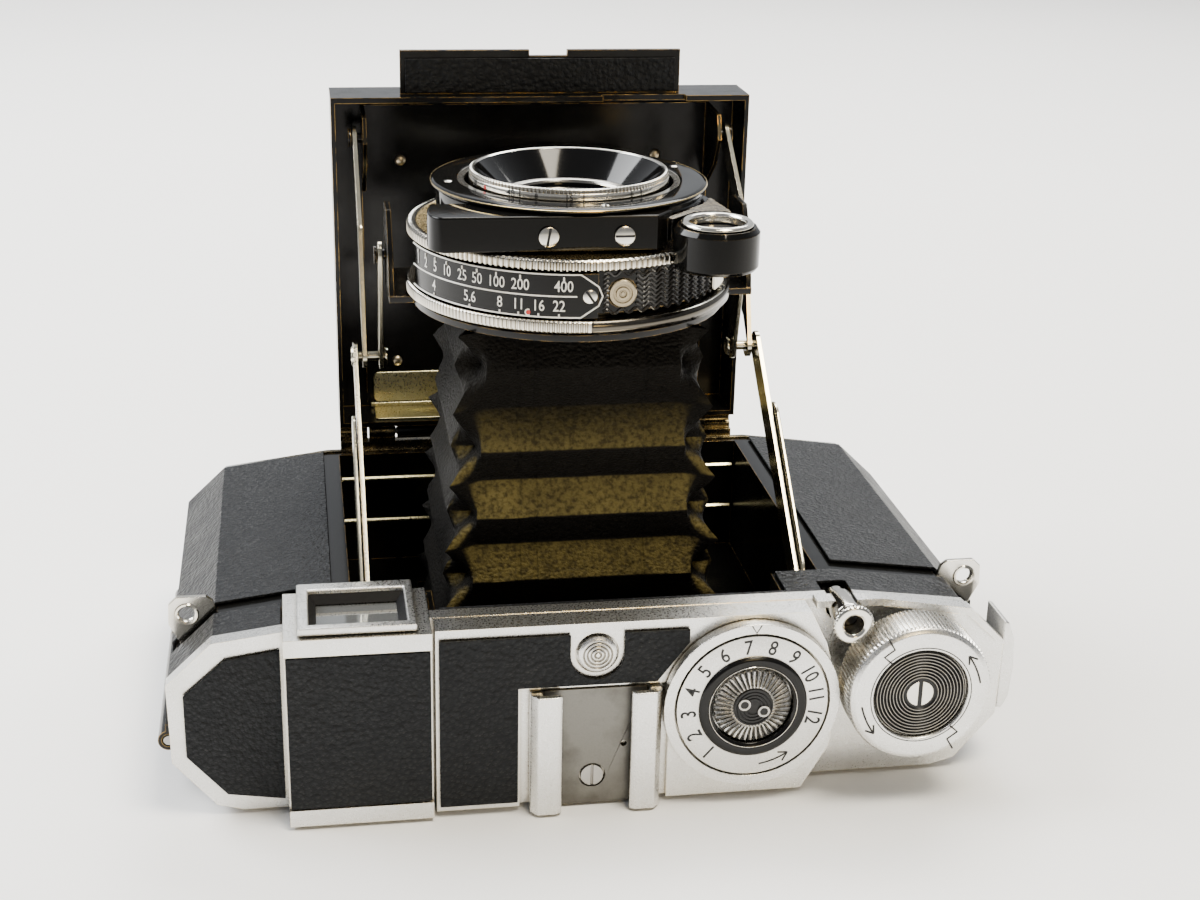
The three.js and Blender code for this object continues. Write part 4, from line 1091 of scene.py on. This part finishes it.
def door_details():
    """Bright strips at the foot of the door, and its four rivet heads."""
    strips = [("plate", oblong(-35.5, 35.5, 44.4, 51.2, 1.2), 49.9, 49.55),
              ("band", oblong(-36.2, 36.2, 43.2, 44.3, 0.3), 49.9, 49.2)]
    for name, outline, near, far in strips:
        plates(f"door_{name}", "door", GILT, [("y", outline, near, far, 0.12)])
    shelf = oblong(-35.5, 35.5, 41.6, 49.3, 0.8)
    plates("door_shelf", "door", GILT, [("z", shelf, 43.15, 43.4, 0.1)])
    for name, x, z in (("top_left", -28.9, 97.9), ("top_right", 25.5, 98.4), ("low_left", -30.3, 53.6),
                       ("low_right", 27.4, 53.8)):
        dome(f"door_rivet_{name}", "door", DULL_BRASS, "y", (x, z), 49.95, 1.2)


def well_lines():
    """Polished edges of the film gate's frame, seen as thin lines on the far side of the well."""
    lines = [[(-43.2, 39.4, z), (43.2, 39.4, z)] for z in (30.4, 20.6)]
    wires("well_rails", "body", GILT, lines, 0.45, slot="nickel")


def link_outline(foot, head, radius, steps=10):
    """A strip with round ends, in y and z."""
    along = math.atan2(head[1] - foot[1], head[0] - foot[0])
    points = []
    for centre, start in ((foot, along + math.pi / 2), (head, along - math.pi / 2)):
        for i in range(steps + 1):
            angle = start + math.pi * i / steps
            points.append((centre[0] + radius * math.cos(angle), centre[1] + radius * math.sin(angle)))
    return points


def strut_links():
    """A link plate and a hollow knee rivet on each lower strut."""
    foot, knee = Vector((-27.34, 31.71)), Vector((12.76, 67.14))
    link = link_outline(foot.lerp(knee, 0.06), foot.lerp(knee, 0.66), 4.3)
    for side, name in ((1, "right"), (-1, "left")):
        plates(f"strut_link_{name}", "lower_struts", STRUT, [("x", link, side * 41.0, side * 41.7, 0.2)],
               slot="nickel")
        x = side * 40.85
        eye = [(1.0, x), (1.15, x + side * 0.3), (1.75, x + side * 0.3), (1.9, x)]
        lathe(f"strut_eye_knee_{name}", "lower_struts", [STRUT], "x", knee, eye, 28)


def finder_details():
    """The window's black bevel, and its tinted glass."""
    sides = [(i, (i + 1) % 4, 4 + (i + 1) % 4, 4 + i) for i in range(4)]
    outer = oblong(-51.35, -34.35, -47.85, -34.15)
    inner = oblong(-50.0, -35.7, -46.6, -35.3)
    vertices = [(*p, 38.3) for p in outer] + [(*p, 36.6) for p in inner]
    piece("finder_bevel", vertices, sides, [BLACK], "body", slot="black_enamel", sharp=20)
    pane = oblong(-52.4, -33.8, -47.4, -33.8)
    vertices = [(*p, z) for z in (36.3, 35.1) for p in pane]
    piece("finder_glass", vertices, [(0, 1, 2, 3), (7, 6, 5, 4)] + sides, [MIRROR_GLASS], "body",
          nodes=["finder_front_glass"], slot="clear_glass", sharp=20)


def lug_rings():
    """The two thin split rings on each strap lug."""
    for side, name in ((1, "right"), (-1, "left")):
        for label, y in (("near", -29.4), ("far", -28.4)):
            ring = round_path("y", (side * 72.9, 33.2), 1.85, y, 24)
            wires(f"lug_ring_{label}_{name}", "body", NICKEL, [ring], 0.35, slot="nickel")


make_camera()
make_floor(paper())
make_world()
make_lights()
dress_nodes()
for make in (
        winding_knob, counter_dial, counter_star, release_button, door_button, shutter_rings, scale_plaque,
        housing_relief, arm_details, bezel, focus_ring, front_glass, wedge_parts, bellows_skin,
        door_details, well_lines, strut_links, finder_details, lug_rings):
    make()
